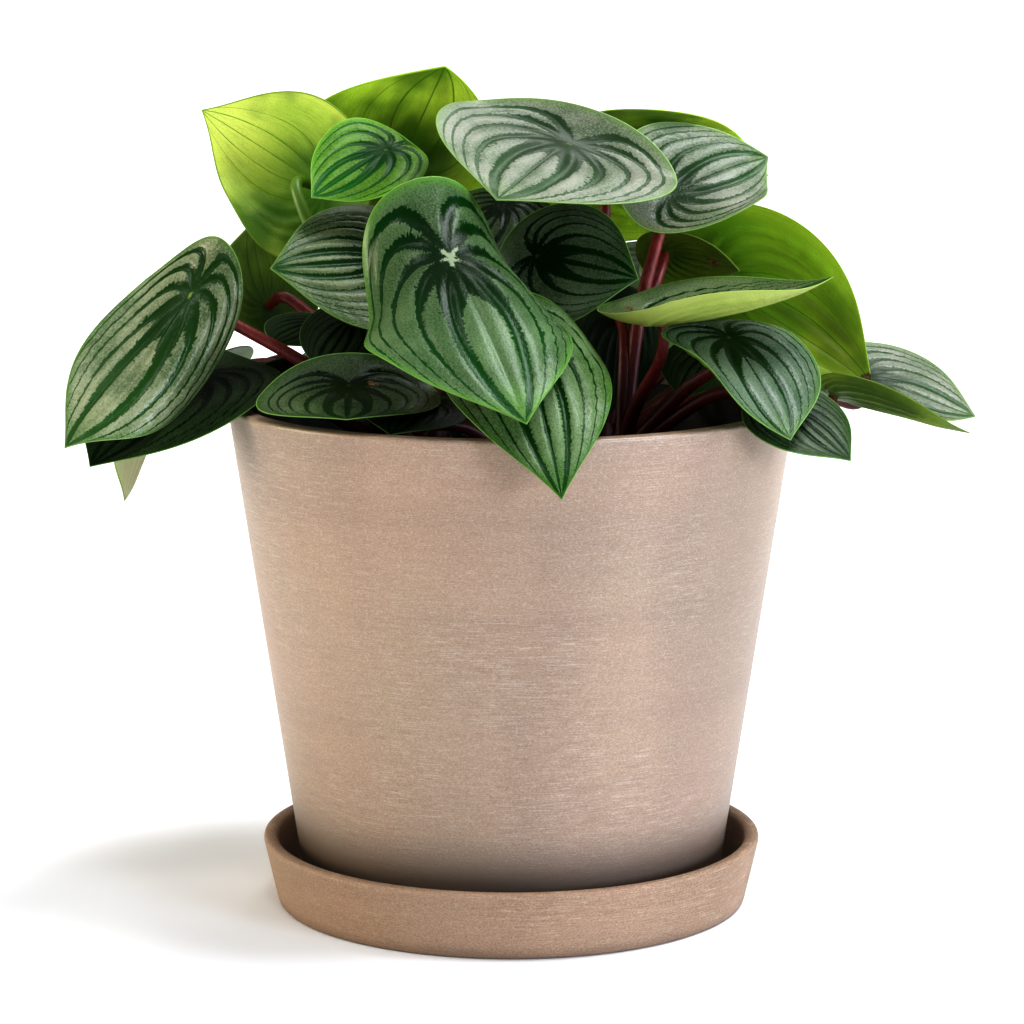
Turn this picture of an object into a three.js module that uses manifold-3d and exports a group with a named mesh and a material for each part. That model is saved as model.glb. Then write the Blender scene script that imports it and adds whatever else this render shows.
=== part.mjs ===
// A potted peperomia with striped, shield-shaped leaves: the plant grows in a thin black
// nursery pot, which stands inside a clay pot on its clay saucer.
// Millimetres, +Z up. The origin is the centre of the saucer's flat underside, and the plant's
// front looks along -Y.

import * as THREE from 'three';
import { mergeVertices } from 'three/addons/utils/BufferGeometryUtils.js';
import Module from 'manifold-3d';

const wasm = await Module();
wasm.setup();

// Clearance between pieces that rest in or on each other.
const gap = 0.3;

// Clay saucer: a flat dish with a slightly flared wall.
const saucer = { baseRadius: 67, rimRadius: 71.4, height: 19.3, wall: 4.2, floor: 4.7, edge: 1.8 };

// Clay pot: a plain tapered pot, 160 mm across its rim.
const pot = { rimRadius: 80, rimHeight: 143.4, taper: 0.149, wall: 6, floor: 7, edge: 1.5, drainRadius: 7 };

// Nursery pot: a thin plastic pot with an outward lip, standing on the clay pot's floor.
const liner = {
  baseRadius: 50, bodyRadius: 68.5, lipRadius: 71.8, lipDrop: 8, rimHeight: 141, wall: 1,
  drainHoles: 6, drainRadius: 4, drainCircle: 30,
};

// Soil: fills the nursery pot, a little mounded between the stems.
const soil = { edgeHeight: 124, moundHeight: 128 };

// Stems: short and stout, each standing in a hole in the soil, with its petioles growing from it.
const stem = { radius: 6, tipRadius: 4, depth: 24, rise: 8 };
const petiole = { rootRadius: 2.1, sides: 6, steps: 8 };

// Leaf blades.
const blade = { thickness: 0.8, petioleGap: 0.4, rings: [0.38, 0.72, 1] };
const spokes = [0, 9, 22, 38, 57, 80, 104, 130, 156];

// Foot points of the stems on the soil.
const stems = {
  front: [2, -30],
  left: [-30, -12],
  right: [31, -14],
  back_left: [-22, 24],
  back_right: [26, 18],
  centre: [0, 2],
};

// Leaf blades by name. Each has the stem it grows from, the point where its petiole joins the
// blade (seat), its drawn-out point (tip), and the way its upper side looks (face). The rest is its
// form: droop, the turn in degrees from seat to tip; nod, the same towards the rounded base; cup,
// the turns from the midrib to the left and right side, below zero where a side rises, and cupBase,
// the same near the base; width and base, the breadth and the reach behind the seat against a usual
// blade's; belly, how much broader the blade gets towards its tip than a usual one; wave, the height
// in millimetres of the ripples along the margin. A petiole runs by its via point and comes to the
// seat over the last reach millimetres.
const leaves = {
  // The front and the left side.
  front_large: { stem: 'front', seat: [-16, -56, 189], tip: [4, -96, 150], face: [0.12, -0.8, 0.6],
    droop: 20, nod: -35, cup: [55, 8], cupBase: [95, 85], width: 0.86, base: 1.18, via: [-20, -36, 165] },
  front_hanging: { stem: 'front', seat: [2, -54, 169], tip: [13, -93, 130], face: [0.1, -0.75, 0.65],
    droop: 35, nod: -5, cup: [30, 20], cupBase: [50, 60], width: 0.71, base: 0.9, belly: -0.2,
    via: [6, -38, 150], reach: 6 },
  front_left_low: { stem: 'left', seat: [-44, -40, 153], tip: [-43, -72, 148], face: [0, -0.5, 0.86],
    droop: -15, nod: -45, cup: [10, 10], width: 1.25, via: [-42, -24, 146], reach: 5 },
  front_low_dark: { stem: 'front', seat: [-24, -45, 149], tip: [-32, -66, 143], face: [-0.1, -0.5, 0.85],
    droop: 10, nod: 10, cup: [10, 10], via: [-12, -38, 141], reach: 4 },
  left_middle: { stem: 'left', seat: [-31, -12, 184], tip: [-66, -24, 183], face: [-0.1, -0.8, 0.55],
    droop: 10, nod: 10, cup: [0, 25] },
  left_large: { stem: 'left', seat: [-89, -15, 175], tip: [-121, -42, 136], face: [-0.5, -0.65, 0.58],
    droop: -15, nod: -20, cup: [95, -20], cupBase: [95, -10], width: 0.51, base: 0.82, belly: 0.55 },
  left_lower: { stem: 'left', seat: [-86, -8, 152], tip: [-115, -36, 130], face: [-0.3, -0.55, 0.75],
    droop: 10, nod: 30, cup: [-10, -20], via: [-60, -17, 146], reach: 4 },
  left_hanging: { stem: 'back_left', seat: [-103, 14, 136], tip: [-111, 10, 113], face: [-0.9, 0.3, 0.2],
    droop: 10, nod: 10, cup: [-35, -35], width: 0.9, via: [-74, 30, 150], reach: 6 },
  left_rim: { stem: 'left', seat: [-60, 14, 149], tip: [-82, 8, 149], face: [-0.2, 0.25, 0.95],
    droop: -10, nod: -10, cup: [-45, -45], width: 0.75, via: [-46, 8, 144], reach: 4 },
  left_inner: { stem: 'left', seat: [-55, 6, 165], tip: [-67, -7, 160], face: [-0.2, -0.5, 0.8],
    droop: 10, nod: 10, cup: [10, 10], width: 1.2, via: [-42, -3, 152], reach: 6 },
  left_inner_dark: { stem: 'left', seat: [-43, -16, 168], tip: [-53, -28, 155], face: [-0.2, -0.6, 0.8],
    droop: 10, nod: 10, cup: [10, 10], width: 1.2 },
  left_upright: { stem: 'back_left', seat: [-72, 46, 165], tip: [-77, 52, 189], face: [-0.6, 0.7, -0.1],
    droop: 10, nod: 10, cup: [20, 20], width: 1.2, base: 1.2, via: [-46, 36, 152], reach: 8 },
  // The top.
  top_large: { stem: 'centre', seat: [16, -5, 216], tip: [-4, -42, 203], face: [0.12, -0.42, 0.9],
    droop: 15, nod: -45, cup: [0, -5], width: 1.3, via: [15, 9, 184], reach: 8 },
  top_right: { stem: 'right', seat: [44, -2, 202], tip: [73, 16, 211], face: [0.05, -0.75, 0.65],
    droop: 15, nod: 10, cup: [-15, -45], wave: 2, via: [36, -7, 170], reach: 7 },
  young_left: { stem: 'centre', seat: [-35, 2, 214], tip: [-55, -14, 201], face: [-0.3, -0.8, 0.5],
    droop: 15, nod: 30, cup: [10, -20], width: 0.85, wave: 2 },
  middle_dark: { stem: 'centre', seat: [7, -16, 186], tip: [35, -23, 180], face: [0.2, -0.75, 0.6],
    droop: 15, nod: 10, cup: [15, 15], width: 1.25 },
  back_left_high: { stem: 'back_left', seat: [-54, 30, 201], tip: [-90, 42, 223], face: [-0.3, 0.9, 0.3],
    droop: 25, nod: 10, cup: [35, 95], cupBase: [45, 40], width: 0.98, belly: -0.25, via: [-44, 10, 166] },
  back_top_left: { stem: 'back_left', seat: [-35, 60, 201], tip: [-19, 34, 236], face: [-0.2, 0.8, 0.5],
    droop: 10, nod: 10, cup: [90, 8], width: 1.05, base: 0.7, belly: 0.6, via: [-29, 42, 176] },
  back_right_high: { stem: 'back_right', seat: [26, 34, 210], tip: [75, 42, 204], face: [0.2, 0.75, 0.6],
    droop: 10, nod: 10, cup: [15, 35] },
  // The right side.
  right_level: { stem: 'right', seat: [41, -38, 170], tip: [87, -36, 182], face: [-0.25, -0.05, 0.95],
    droop: -15, nod: -35, cup: [-35, -45], width: 0.8 },
  front_right: { stem: 'right', seat: [59, -38, 166], tip: [74, -62, 141], face: [0.35, -0.7, 0.62],
    droop: 20, nod: 30, cup: [15, -55], cupBase: [15, -8], base: 0.8, via: [48, -26, 150], reach: 8 },
  right_curled: { stem: 'back_right', seat: [44, 18, 184], tip: [65, 12, 179], face: [0.05, 0.6, 0.75],
    droop: 20, nod: 10, cup: [20, 20], width: 1.1 },
  right_large: { stem: 'back_right', seat: [59, 36, 174], tip: [105, 28, 144], face: [0.45, 0.75, 0.5],
    droop: 15, nod: 10, cup: [-70, 0], width: 1.05 },
  right_lower: { stem: 'right', seat: [73, -40, 148], tip: [91, -52, 134], face: [0.4, -0.6, 0.65],
    droop: 15, nod: 10, cup: [10, 10], base: 0.8, via: [60, -30, 150], reach: 3 },
  right_outer: { stem: 'back_right', seat: [105, 56, 143], tip: [138, 50, 132], face: [0.25, -0.55, 0.8],
    droop: 10, nod: -10, cup: [10, -50], via: [68, 46, 148], reach: 9 },
  right_outer_low: { stem: 'back_right', seat: [92, 10, 144], tip: [130, 2, 134], face: [-0.05, 0.3, 0.95],
    droop: 0, nod: 0, cup: [-35, -35], width: 0.6, base: 0.5, via: [70, 13, 149], reach: 3 },
  middle_right: { stem: 'right', seat: [30, 2, 166], tip: [28, -2, 140], face: [-0.2, 0.9, -0.3],
    droop: 10, nod: 10, cup: [10, 10], width: 0.8 },
  right_inner: { stem: 'right', seat: [56, -2, 158], tip: [47, -16, 146], face: [-0.2, -0.6, 0.8],
    droop: 10, nod: 10, cup: [10, 10], via: [50, 4, 148], reach: 4 },
  // The back, out of the front view.
  back_low_centre: { stem: 'back_left', seat: [4, 62, 160], tip: [6, 96, 130], face: [0.1, 0.75, 0.65],
    droop: 30, nod: 20, cup: [20, 20], width: 0.85 },
  back_low_left: { stem: 'back_left', seat: [-42, 62, 158], tip: [-66, 86, 126], face: [-0.5, 0.5, 0.7],
    droop: 30, nod: 20, cup: [20, 20], width: 0.85 },
  back_low_right: { stem: 'back_right', seat: [55, 63, 156], tip: [77, 87, 126], face: [0.5, 0.5, 0.7],
    droop: 30, nod: 20, cup: [20, 20], width: 0.85 },
  back_middle_left: { stem: 'back_left', seat: [-24, 76, 180], tip: [-36, 104, 152], face: [-0.2, 0.75, 0.6],
    droop: 25, nod: 15, cup: [20, 20] },
  back_middle_right: { stem: 'back_right', seat: [44, 72, 177], tip: [61, 97, 149], face: [0.3, 0.75, 0.6],
    droop: 25, nod: 15, cup: [20, 20] },
  back_top: { stem: 'centre', seat: [3, 63, 189], tip: [6, 99, 169], face: [0.1, 0.4, 0.9],
    droop: 25, nod: 10, cup: [20, 20] },
  left_far_back: { stem: 'back_left', seat: [-90, 36, 149], tip: [-115, 46, 125], face: [-0.6, 0.3, 0.7],
    droop: 20, nod: 10, cup: [15, 15], via: [-64, 42, 150], reach: 5 },
  centre_inner: { stem: 'centre', seat: [-2, 22, 197], tip: [-11, 6, 182], face: [-0.1, -0.6, 0.8],
    droop: 15, nod: 10, cup: [15, 15], width: 1.2 },
};

const colours = {
  upper: 0x5c7a55,
  petiole: 0x9c3a38,
  clay: 0xb09a84,
  saucer: 0xb8977e,
  plastic: 0x17181a,
  soil: 0x2e241d,
};

const plant = new THREE.Group();

const bladeFinish = finish(colours.upper, 0.45);
const petioleFinish = finish(colours.petiole, 0.5);
const clayFinish = finish(colours.clay, 0.85);
const saucerFinish = finish(colours.saucer, 0.85);
const plasticFinish = finish(colours.plastic, 0.45);
const soilFinish = finish(colours.soil, 1);

function finish(color, roughness) {
  return new THREE.MeshStandardMaterial({ color, roughness, metalness: 0 });
}

function add(name, geometry, material) {
  const mesh = new THREE.Mesh(geometry, material);
  mesh.name = name;
  plant.add(mesh);
}

function degrees(angle) {
  return THREE.MathUtils.degToRad(angle);
}

// Closed geometries to solids and back, for cutting and joining.
function toSolid(geometry) {
  const bare = geometry.clone();
  bare.deleteAttribute('normal');
  bare.deleteAttribute('uv');
  const merged = mergeVertices(bare, 1e-4);
  return new wasm.Manifold(new wasm.Mesh({
    numProp: 3,
    vertProperties: new Float32Array(merged.attributes.position.array),
    triVerts: new Uint32Array(merged.index.array),
  }));
}

function toGeometry(solid) {
  const mesh = solid.getMesh();
  const geometry = new THREE.BufferGeometry();
  geometry.setAttribute('position', new THREE.BufferAttribute(new Float32Array(mesh.vertProperties), 3));
  geometry.setIndex(new THREE.BufferAttribute(new Uint32Array(mesh.triVerts), 1));
  return geometry;
}

// A body turned about Z from a closed or axis-to-axis outline of [radius, height] points.
function turned(points, segments) {
  const geometry = new THREE.LatheGeometry(points.map(([r, z]) => new THREE.Vector2(r, z)), segments);
  geometry.rotateX(Math.PI / 2);
  return geometry;
}

function upright(radius, fromZ, toZ, x, y, sides = 12, topRadius = radius) {
  const geometry = new THREE.CylinderGeometry(topRadius, radius, toZ - fromZ, sides);
  geometry.rotateX(Math.PI / 2);
  geometry.translate(x, y, (fromZ + toZ) / 2);
  return geometry;
}

// Points of a half-round edge from the outer side of a wall to its inner side.
function roundedEdge(outer, inner, top, edge) {
  const points = [];
  for (const turn of [0, 45, 90]) {
    const a = degrees(turn);
    points.push([outer - edge * (1 - Math.cos(a)), top - edge * (1 - Math.sin(a))]);
  }
  for (const turn of [90, 45, 0]) {
    const a = degrees(turn);
    points.push([inner + edge * (1 - Math.cos(a)), top - edge * (1 - Math.sin(a))]);
  }
  return points;
}

function makeSaucer() {
  const flare = (saucer.rimRadius - saucer.baseRadius) / saucer.height;
  const innerBase = saucer.baseRadius - saucer.wall + flare * saucer.floor;
  const outline = [
    [0, 0],
    [saucer.baseRadius - 1, 0],
    [saucer.baseRadius, 1],
    ...roundedEdge(saucer.rimRadius, saucer.rimRadius - saucer.wall, saucer.height, saucer.edge),
    [innerBase, saucer.floor + 1.5],
    [innerBase - 1.5, saucer.floor],
    [0, saucer.floor],
  ];
  add('saucer', turned(outline, 56), saucerFinish);
}

function makePot() {
  const base = saucer.floor + gap;
  const outerAt = (z) => pot.rimRadius - pot.taper * (pot.rimHeight - z);
  const floorTop = base + pot.floor;
  const innerFloor = outerAt(floorTop) - pot.wall;
  const outline = [
    [0, base],
    [outerAt(base) - 1, base],
    [outerAt(base + 1), base + 1],
    ...roundedEdge(pot.rimRadius, pot.rimRadius - pot.wall, pot.rimHeight, pot.edge),
    [innerFloor, floorTop + 2],
    [innerFloor - 2, floorTop],
    [0, floorTop],
  ];
  const body = toSolid(turned(outline, 56));
  const drain = toSolid(upright(pot.drainRadius, base - 1, floorTop + 1, 0, 0, 20));
  add('clay_pot', toGeometry(body.subtract(drain)), clayFinish);
}

function makeLiner() {
  const base = saucer.floor + gap + pot.floor + gap;
  const lipBottom = liner.rimHeight - liner.lipDrop;
  const inside = liner.bodyRadius - liner.wall;
  const outline = [
    [0, base],
    [liner.baseRadius, base],
    [liner.bodyRadius, lipBottom],
    [liner.lipRadius - 0.6, lipBottom],
    [liner.lipRadius, liner.rimHeight],
    [liner.lipRadius - liner.wall, liner.rimHeight],
    [inside, lipBottom + liner.wall],
    [liner.baseRadius - liner.wall, base + liner.wall],
    [0, base + liner.wall],
  ];
  let body = toSolid(turned(outline, 48));
  for (let i = 0; i < liner.drainHoles; i += 1) {
    const turn = (i / liner.drainHoles) * 2 * Math.PI;
    const x = liner.drainCircle * Math.cos(turn);
    const y = liner.drainCircle * Math.sin(turn);
    body = body.subtract(toSolid(upright(liner.drainRadius, base - 1, base + 2, x, y, 10)));
  }
  add('nursery_pot', toGeometry(body), plasticFinish);
}

function makeSoil() {
  const linerBase = saucer.floor + gap + pot.floor + gap;
  const bottom = linerBase + liner.wall + gap;
  const lipBottom = liner.rimHeight - liner.lipDrop;
  const slope = (liner.bodyRadius - liner.baseRadius) / (lipBottom - linerBase);
  const radiusAt = (z) => liner.baseRadius + slope * (z - linerBase) - liner.wall - 1.3 * gap;
  const outline = [
    [0, bottom],
    [radiusAt(bottom), bottom],
    [radiusAt(soil.edgeHeight), soil.edgeHeight],
    [58, soil.edgeHeight + 1],
    [44, soil.moundHeight - 1],
    [26, soil.moundHeight - 2],
    [12, soil.moundHeight],
    [0, soil.moundHeight - 1],
  ];
  let body = toSolid(turned(outline, 36));
  for (const [x, y] of Object.values(stems)) {
    const holeBottom = soil.edgeHeight - stem.depth - gap;
    body = body.subtract(toSolid(upright(stem.radius + gap, holeBottom, soil.moundHeight + 5, x, y, 12)));
  }
  add('soil', toGeometry(body), soilFinish);
}

// The blade's flat outline about its seat, for a seat-to-tip length of 1: a limacon with a point.
function outlineRadius(turn) {
  return 0.585 + 0.2 * Math.cos(turn) + 0.215 * Math.exp(-Math.abs(turn) / 0.25);
}

const widest = 0.61;
const baseReach = 0.385;

// Distance along an arc that turns by `rate` radians a millimetre, and the drop below its start.
function arc(distance, rate) {
  const turn = rate * distance;
  if (Math.abs(turn) < 1e-6) {
    return { run: distance, drop: 0, turn };
  }
  return { run: Math.sin(turn) / rate, drop: (1 - Math.cos(turn)) / rate, turn };
}

// A leaf's own axes and measures, worked out from its seat, tip, face and droop.
function layOut(leaf) {
  const seat = new THREE.Vector3(...leaf.seat);
  const chord = new THREE.Vector3(...leaf.tip).sub(seat);
  const halfTurn = degrees(leaf.droop) / 2;
  const length = chord.length() * (halfTurn === 0 ? 1 : halfTurn / Math.sin(halfTurn));
  const along = chord.clone().normalize();
  const face = new THREE.Vector3(...leaf.face);
  face.addScaledVector(along, -face.dot(along)).normalize();
  const axis = new THREE.Vector3().crossVectors(along, face);
  const forward = along.clone().applyAxisAngle(axis, halfTurn);
  const normal = face.clone().applyAxisAngle(axis, halfTurn);
  const side = new THREE.Vector3().crossVectors(normal, forward);
  return { seat, forward, normal, side, length, width: leaf.width ?? 1, base: leaf.base ?? 1, leaf };
}

// How far a side turns from the midrib, at a share of the way from the seat to the tip.
function cupAt(leaf, share, v) {
  const side = v >= 0 ? 0 : 1;
  const base = (leaf.cupBase ?? leaf.cup)[side];
  return THREE.MathUtils.lerp(base, leaf.cup[side], THREE.MathUtils.smoothstep(share, -0.2, 0.6));
}

// A point of the upper side, from flat millimetres along the midrib and across to the left.
function bladePoint(frame, u, v) {
  const { leaf, length, width } = frame;
  const midrib = u >= 0
    ? arc(u, degrees(leaf.droop) / length)
    : arc(u, degrees(leaf.nod) / (baseReach * length * frame.base));
  const rib = arc(Math.abs(v), degrees(cupAt(leaf, u / length, v)) / (widest * length * width));
  const reach = Math.hypot(u, v) / length;
  const ripple = (leaf.wave ?? 0) * reach ** 3 * Math.sin(5 * Math.atan2(v, u) + leaf.seat[0]);
  const lift = ripple - rib.drop;
  const ahead = midrib.run + lift * Math.sin(midrib.turn);
  const up = -midrib.drop + lift * Math.cos(midrib.turn);
  return frame.seat.clone()
    .addScaledVector(frame.forward, ahead)
    .addScaledVector(frame.side, Math.sign(v) * rib.run)
    .addScaledVector(frame.normal, up);
}

function bladeNormal(frame, u, v) {
  const step = 0.5;
  const du = bladePoint(frame, u + step, v).sub(bladePoint(frame, u - step, v));
  const dv = bladePoint(frame, u, v + step).sub(bladePoint(frame, u, v - step));
  return du.cross(dv).normalize();
}

// Both faces have the same spokes, rings and diagonals, and the rim joins them.
function bladeGeometry(frame) {
  const turns = [...spokes.map(degrees), Math.PI, ...spokes.slice(1).reverse().map((a) => -degrees(a))];
  const count = turns.length;
  const upper = [];
  const lower = [];
  const place = (u, v) => {
    const point = bladePoint(frame, u, v);
    upper.push(point);
    lower.push(point.clone().addScaledVector(bladeNormal(frame, u, v), -blade.thickness));
  };
  place(0, 0);
  for (const ring of blade.rings) {
    for (const turn of turns) {
      const radius = ring * outlineRadius(turn) * frame.length;
      const ahead = radius * Math.cos(turn);
      const breadth = frame.width * (1 + (frame.leaf.belly ?? 0) * ahead / frame.length);
      place(ahead < 0 ? ahead * frame.base : ahead, radius * Math.sin(turn) * breadth);
    }
  }
  const total = upper.length;
  const faces = [];
  const both = (a, b, c) => {
    faces.push(a, b, c);
    faces.push(a + total, c + total, b + total);
  };
  for (let j = 0; j < count; j += 1) {
    const k = (j + 1) % count;
    both(0, 1 + j, 1 + k);
    for (let ring = 1; ring < blade.rings.length; ring += 1) {
      const inner = 1 + (ring - 1) * count;
      const outer = 1 + ring * count;
      both(inner + j, outer + j, outer + k);
      both(inner + j, outer + k, inner + k);
    }
    const edge = 1 + (blade.rings.length - 1) * count;
    faces.push(edge + j, edge + j + total, edge + k + total);
    faces.push(edge + j, edge + k + total, edge + k);
  }
  const geometry = new THREE.BufferGeometry();
  geometry.setAttribute('position', new THREE.Float32BufferAttribute(
    [...upper, ...lower].flatMap((p) => p.toArray()), 3,
  ));
  geometry.setIndex(faces);
  return geometry;
}

// The petiole's run from its stem to just under the blade's seat.
function petioleCurve(frame) {
  const { leaf } = frame;
  const [x, y] = stems[leaf.stem];
  const root = new THREE.Vector3(x, y, soil.moundHeight + 2);
  const end = frame.seat.clone().addScaledVector(frame.normal, -blade.thickness - blade.petioleGap);
  const below = end.clone().addScaledVector(frame.normal, -(leaf.reach ?? 14));
  if (leaf.via) {
    const via = new THREE.Vector3(...leaf.via);
    return new THREE.CatmullRomCurve3([root, via, below, end], false, 'centripetal');
  }
  const lean = new THREE.Vector3(end.x - x, end.y - y, 0).multiplyScalar(0.25);
  const above = root.clone().add(lean).add(new THREE.Vector3(0, 0, 0.55 * (end.z - root.z)));
  return new THREE.CubicBezierCurve3(root, above, below, end);
}

// A tube along a curve whose radius falls from its root to its end, with flat ends.
function petioleGeometry(frame) {
  const curve = petioleCurve(frame);
  const endRadius = frame.leaf.thick ?? 1.4;
  const section = new THREE.Shape();
  section.absarc(0, 0, 1, 0, 2 * Math.PI, false);
  const geometry = new THREE.ExtrudeGeometry(section, {
    steps: petiole.steps, curveSegments: petiole.sides / 2, bevelEnabled: false, extrudePath: curve,
  });
  const position = geometry.attributes.position;
  const centres = curve.getSpacedPoints(petiole.steps);
  const point = new THREE.Vector3();
  for (let i = 0; i < position.count; i += 1) {
    point.fromBufferAttribute(position, i);
    let nearest = 0;
    for (let k = 1; k < centres.length; k += 1) {
      if (point.distanceTo(centres[k]) < point.distanceTo(centres[nearest])) {
        nearest = k;
      }
    }
    const radius = THREE.MathUtils.lerp(petiole.rootRadius, endRadius, nearest / petiole.steps);
    point.sub(centres[nearest]).multiplyScalar(radius).add(centres[nearest]);
    position.setXYZ(i, point.x, point.y, point.z);
  }
  return geometry;
}

function makeLeaves() {
  for (const [name, leaf] of Object.entries(leaves)) {
    add(`leaf_${name}`, bladeGeometry(layOut(leaf)), bladeFinish);
  }
}

function makeStems() {
  for (const [name, [x, y]] of Object.entries(stems)) {
    const foot = soil.edgeHeight - stem.depth;
    const top = soil.moundHeight + stem.rise;
    let body = toSolid(upright(stem.radius, foot, top, x, y, 10, stem.tipRadius));
    for (const leaf of Object.values(leaves).filter((each) => each.stem === name)) {
      body = body.add(toSolid(petioleGeometry(layOut(leaf))));
    }
    add(`stem_${name}`, toGeometry(body), petioleFinish);
  }
}

makeSaucer();
makePot();
makeLiner();
makeSoil();
makeStems();
makeLeaves();

export default plant;
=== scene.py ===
# A potted peperomia on its CAD frame: striped leaves on red petioles, in a clay pot on a saucer.
# Tables of forms are in millimetres and degrees; materials, strewn crumbs and meshes are in metres.
import math

import bmesh
import bpy
import numpy as np
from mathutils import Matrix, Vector


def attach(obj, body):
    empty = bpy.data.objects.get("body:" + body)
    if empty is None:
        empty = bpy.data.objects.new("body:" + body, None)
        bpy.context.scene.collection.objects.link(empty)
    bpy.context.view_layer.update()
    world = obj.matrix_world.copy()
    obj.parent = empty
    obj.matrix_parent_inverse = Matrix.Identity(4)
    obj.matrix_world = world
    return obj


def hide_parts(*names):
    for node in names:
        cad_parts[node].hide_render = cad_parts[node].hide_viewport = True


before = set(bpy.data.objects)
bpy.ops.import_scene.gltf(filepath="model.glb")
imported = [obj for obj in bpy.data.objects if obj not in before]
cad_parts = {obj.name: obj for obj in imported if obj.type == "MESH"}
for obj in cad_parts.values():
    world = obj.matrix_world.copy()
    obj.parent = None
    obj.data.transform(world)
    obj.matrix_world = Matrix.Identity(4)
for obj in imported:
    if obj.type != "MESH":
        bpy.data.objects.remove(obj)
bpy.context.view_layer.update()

millimetre = 0.001
fullTurn = 2 * math.pi


def feed(socket, value):
    # Gives a node's input a value or another node's output.
    if isinstance(value, bpy.types.NodeSocket):
        socket.id_data.links.new(value, socket)
    elif socket.type == "RGBA":
        socket.default_value = (*value, 1.0)
    else:
        socket.default_value = value


def addNode(tree, kind, inputs=None, **settings):
    node = tree.nodes.new(kind)
    for key, value in settings.items():
        setattr(node, key, value)
    for key, value in (inputs or {}).items():
        feed(node.inputs[key], value)
    return node


def result(tree, kind, inputs=None, **settings):
    # A new node's first output.
    return addNode(tree, kind, inputs, **settings).outputs[0]


def treeOf(*values):
    # The tree that the values' nodes stand in.
    return next(value.id_data for value in values if isinstance(value, bpy.types.NodeSocket))


def calc(operation, *values):
    return result(treeOf(*values), "ShaderNodeMath", dict(enumerate(values)), operation=operation)


def plus(first, second):
    return calc("ADD", first, second)


def minus(first, second):
    return calc("SUBTRACT", first, second)


def times(first, *others):
    for other in others:
        first = calc("MULTIPLY", first, other)
    return first


def sway(value, amount):
    # A noise about its middle.
    return times(minus(value, 0.5), amount)


def soften(value, low, high, toLow=0.0, toHigh=1.0):
    # A smooth step from toLow to toHigh while the value goes from low to high.
    limits = {"Value": value, "From Min": low, "From Max": high, "To Min": toLow, "To Max": toHigh}
    return result(value.id_data, "ShaderNodeMapRange", limits, interpolation_type="SMOOTHSTEP")


def split(vector):
    return addNode(vector.id_data, "ShaderNodeSeparateXYZ", {0: vector}).outputs


def combine(x, y, z):
    return result(treeOf(x, y, z), "ShaderNodeCombineXYZ", {0: x, 1: y, 2: z})


def noise(vector, scale, detail=2.0, roughness=0.5):
    # The scale is a number, or three of them for a grain that is drawn out.
    tree = vector.id_data
    if isinstance(scale, tuple):
        vector = result(tree, "ShaderNodeMapping", {"Vector": vector, "Scale": scale})
        scale = 1.0
    inputs = {"Vector": vector, "Scale": scale, "Detail": detail, "Roughness": roughness}
    return result(tree, "ShaderNodeTexNoise", inputs)


def mixColour(share, first, second):
    inputs = {0: share, 6: first, 7: second}
    return addNode(treeOf(share, first, second), "ShaderNodeMix", inputs, data_type="RGBA").outputs[2]


def coats(body, *layers):
    # Lays colours over one another, each by its share.
    for share, tone in layers:
        body = mixColour(share, body, tone)
    return body


def objectPlace(tree):
    return addNode(tree, "ShaderNodeTexCoord").outputs["Object"]


def attributeOf(tree, name, output="Vector"):
    return addNode(tree, "ShaderNodeAttribute", attribute_name=name).outputs[output]


def newMaterial(name):
    material = bpy.data.materials.new(name)
    material.use_nodes = True
    return material, material.node_tree


def dress(material, body, roughness, specular=0.5, height=None, relief=0.0):
    # Ends a material: its colour, its gloss and, from a height, the fine relief of its surface.
    tree = material.node_tree
    inputs = {"Base Color": body, "Roughness": roughness, "Specular IOR Level": specular}
    if height is not None:
        bump = {"Strength": 1.0, "Distance": relief, "Height": height}
        inputs["Normal"] = result(tree, "ShaderNodeBump", bump)
    for key, value in inputs.items():
        feed(tree.nodes["Principled BSDF"].inputs[key], value)
    return material


def sceneObject(name, data):
    made = bpy.data.objects.new(name, data)
    bpy.context.scene.collection.objects.link(made)
    return made


def metres(vertices):
    return (np.array(vertices) * millimetre).tolist()


def meshOf(name, vertices, edges, faces):
    mesh = bpy.data.meshes.new(name)
    mesh.from_pydata(vertices, edges, faces)
    return mesh


def makePiece(name, mesh, slot, node, *materials):
    mesh.name = name
    for material in materials:
        mesh.materials.append(material)
    piece = sceneObject(name, mesh)
    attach(piece, "root")
    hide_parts(node)


def keepMesh(source, modifier):
    # What the modifier makes, as a plain mesh; the source isn't needed any more.
    depsgraph = bpy.context.evaluated_depsgraph_get()
    plain = bpy.data.meshes.new_from_object(source.evaluated_get(depsgraph), depsgraph=depsgraph)
    source.modifiers.remove(modifier)
    bpy.data.objects.remove(source)
    return plain


def newTree(name, inputs, output):
    # A Geometry Nodes tree; its inputs are (name, kind of socket, default).
    tree = bpy.data.node_groups.new(name, "GeometryNodeTree")
    for title, kind, default in inputs:
        socket = tree.interface.new_socket(title, in_out="INPUT", socket_type="NodeSocket" + kind)
        if default is not None:
            socket.default_value = default
    tree.interface.new_socket(output, in_out="OUTPUT", socket_type="NodeSocketGeometry")
    return tree, addNode(tree, "NodeGroupInput").outputs


def painted(tree, geometry, material):
    # Where a tree ends: real geometry with its material set.
    real = result(tree, "GeometryNodeRealizeInstances", {"Geometry": geometry})
    return result(tree, "GeometryNodeSetMaterial", {"Geometry": real, "Material": material})


def runTree(source, tree, values):
    # Gives the tree its values by the sockets' identifiers, then keeps the result as a plain mesh.
    modifier = source.modifiers.new(tree.name, "NODES")
    modifier.node_group = tree
    for item in tree.interface.items_tree:
        if item.item_type == "SOCKET" and item.in_out == "INPUT" and item.name in values:
            modifier[item.identifier] = values[item.name]
    return keepMesh(source, modifier)


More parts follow.
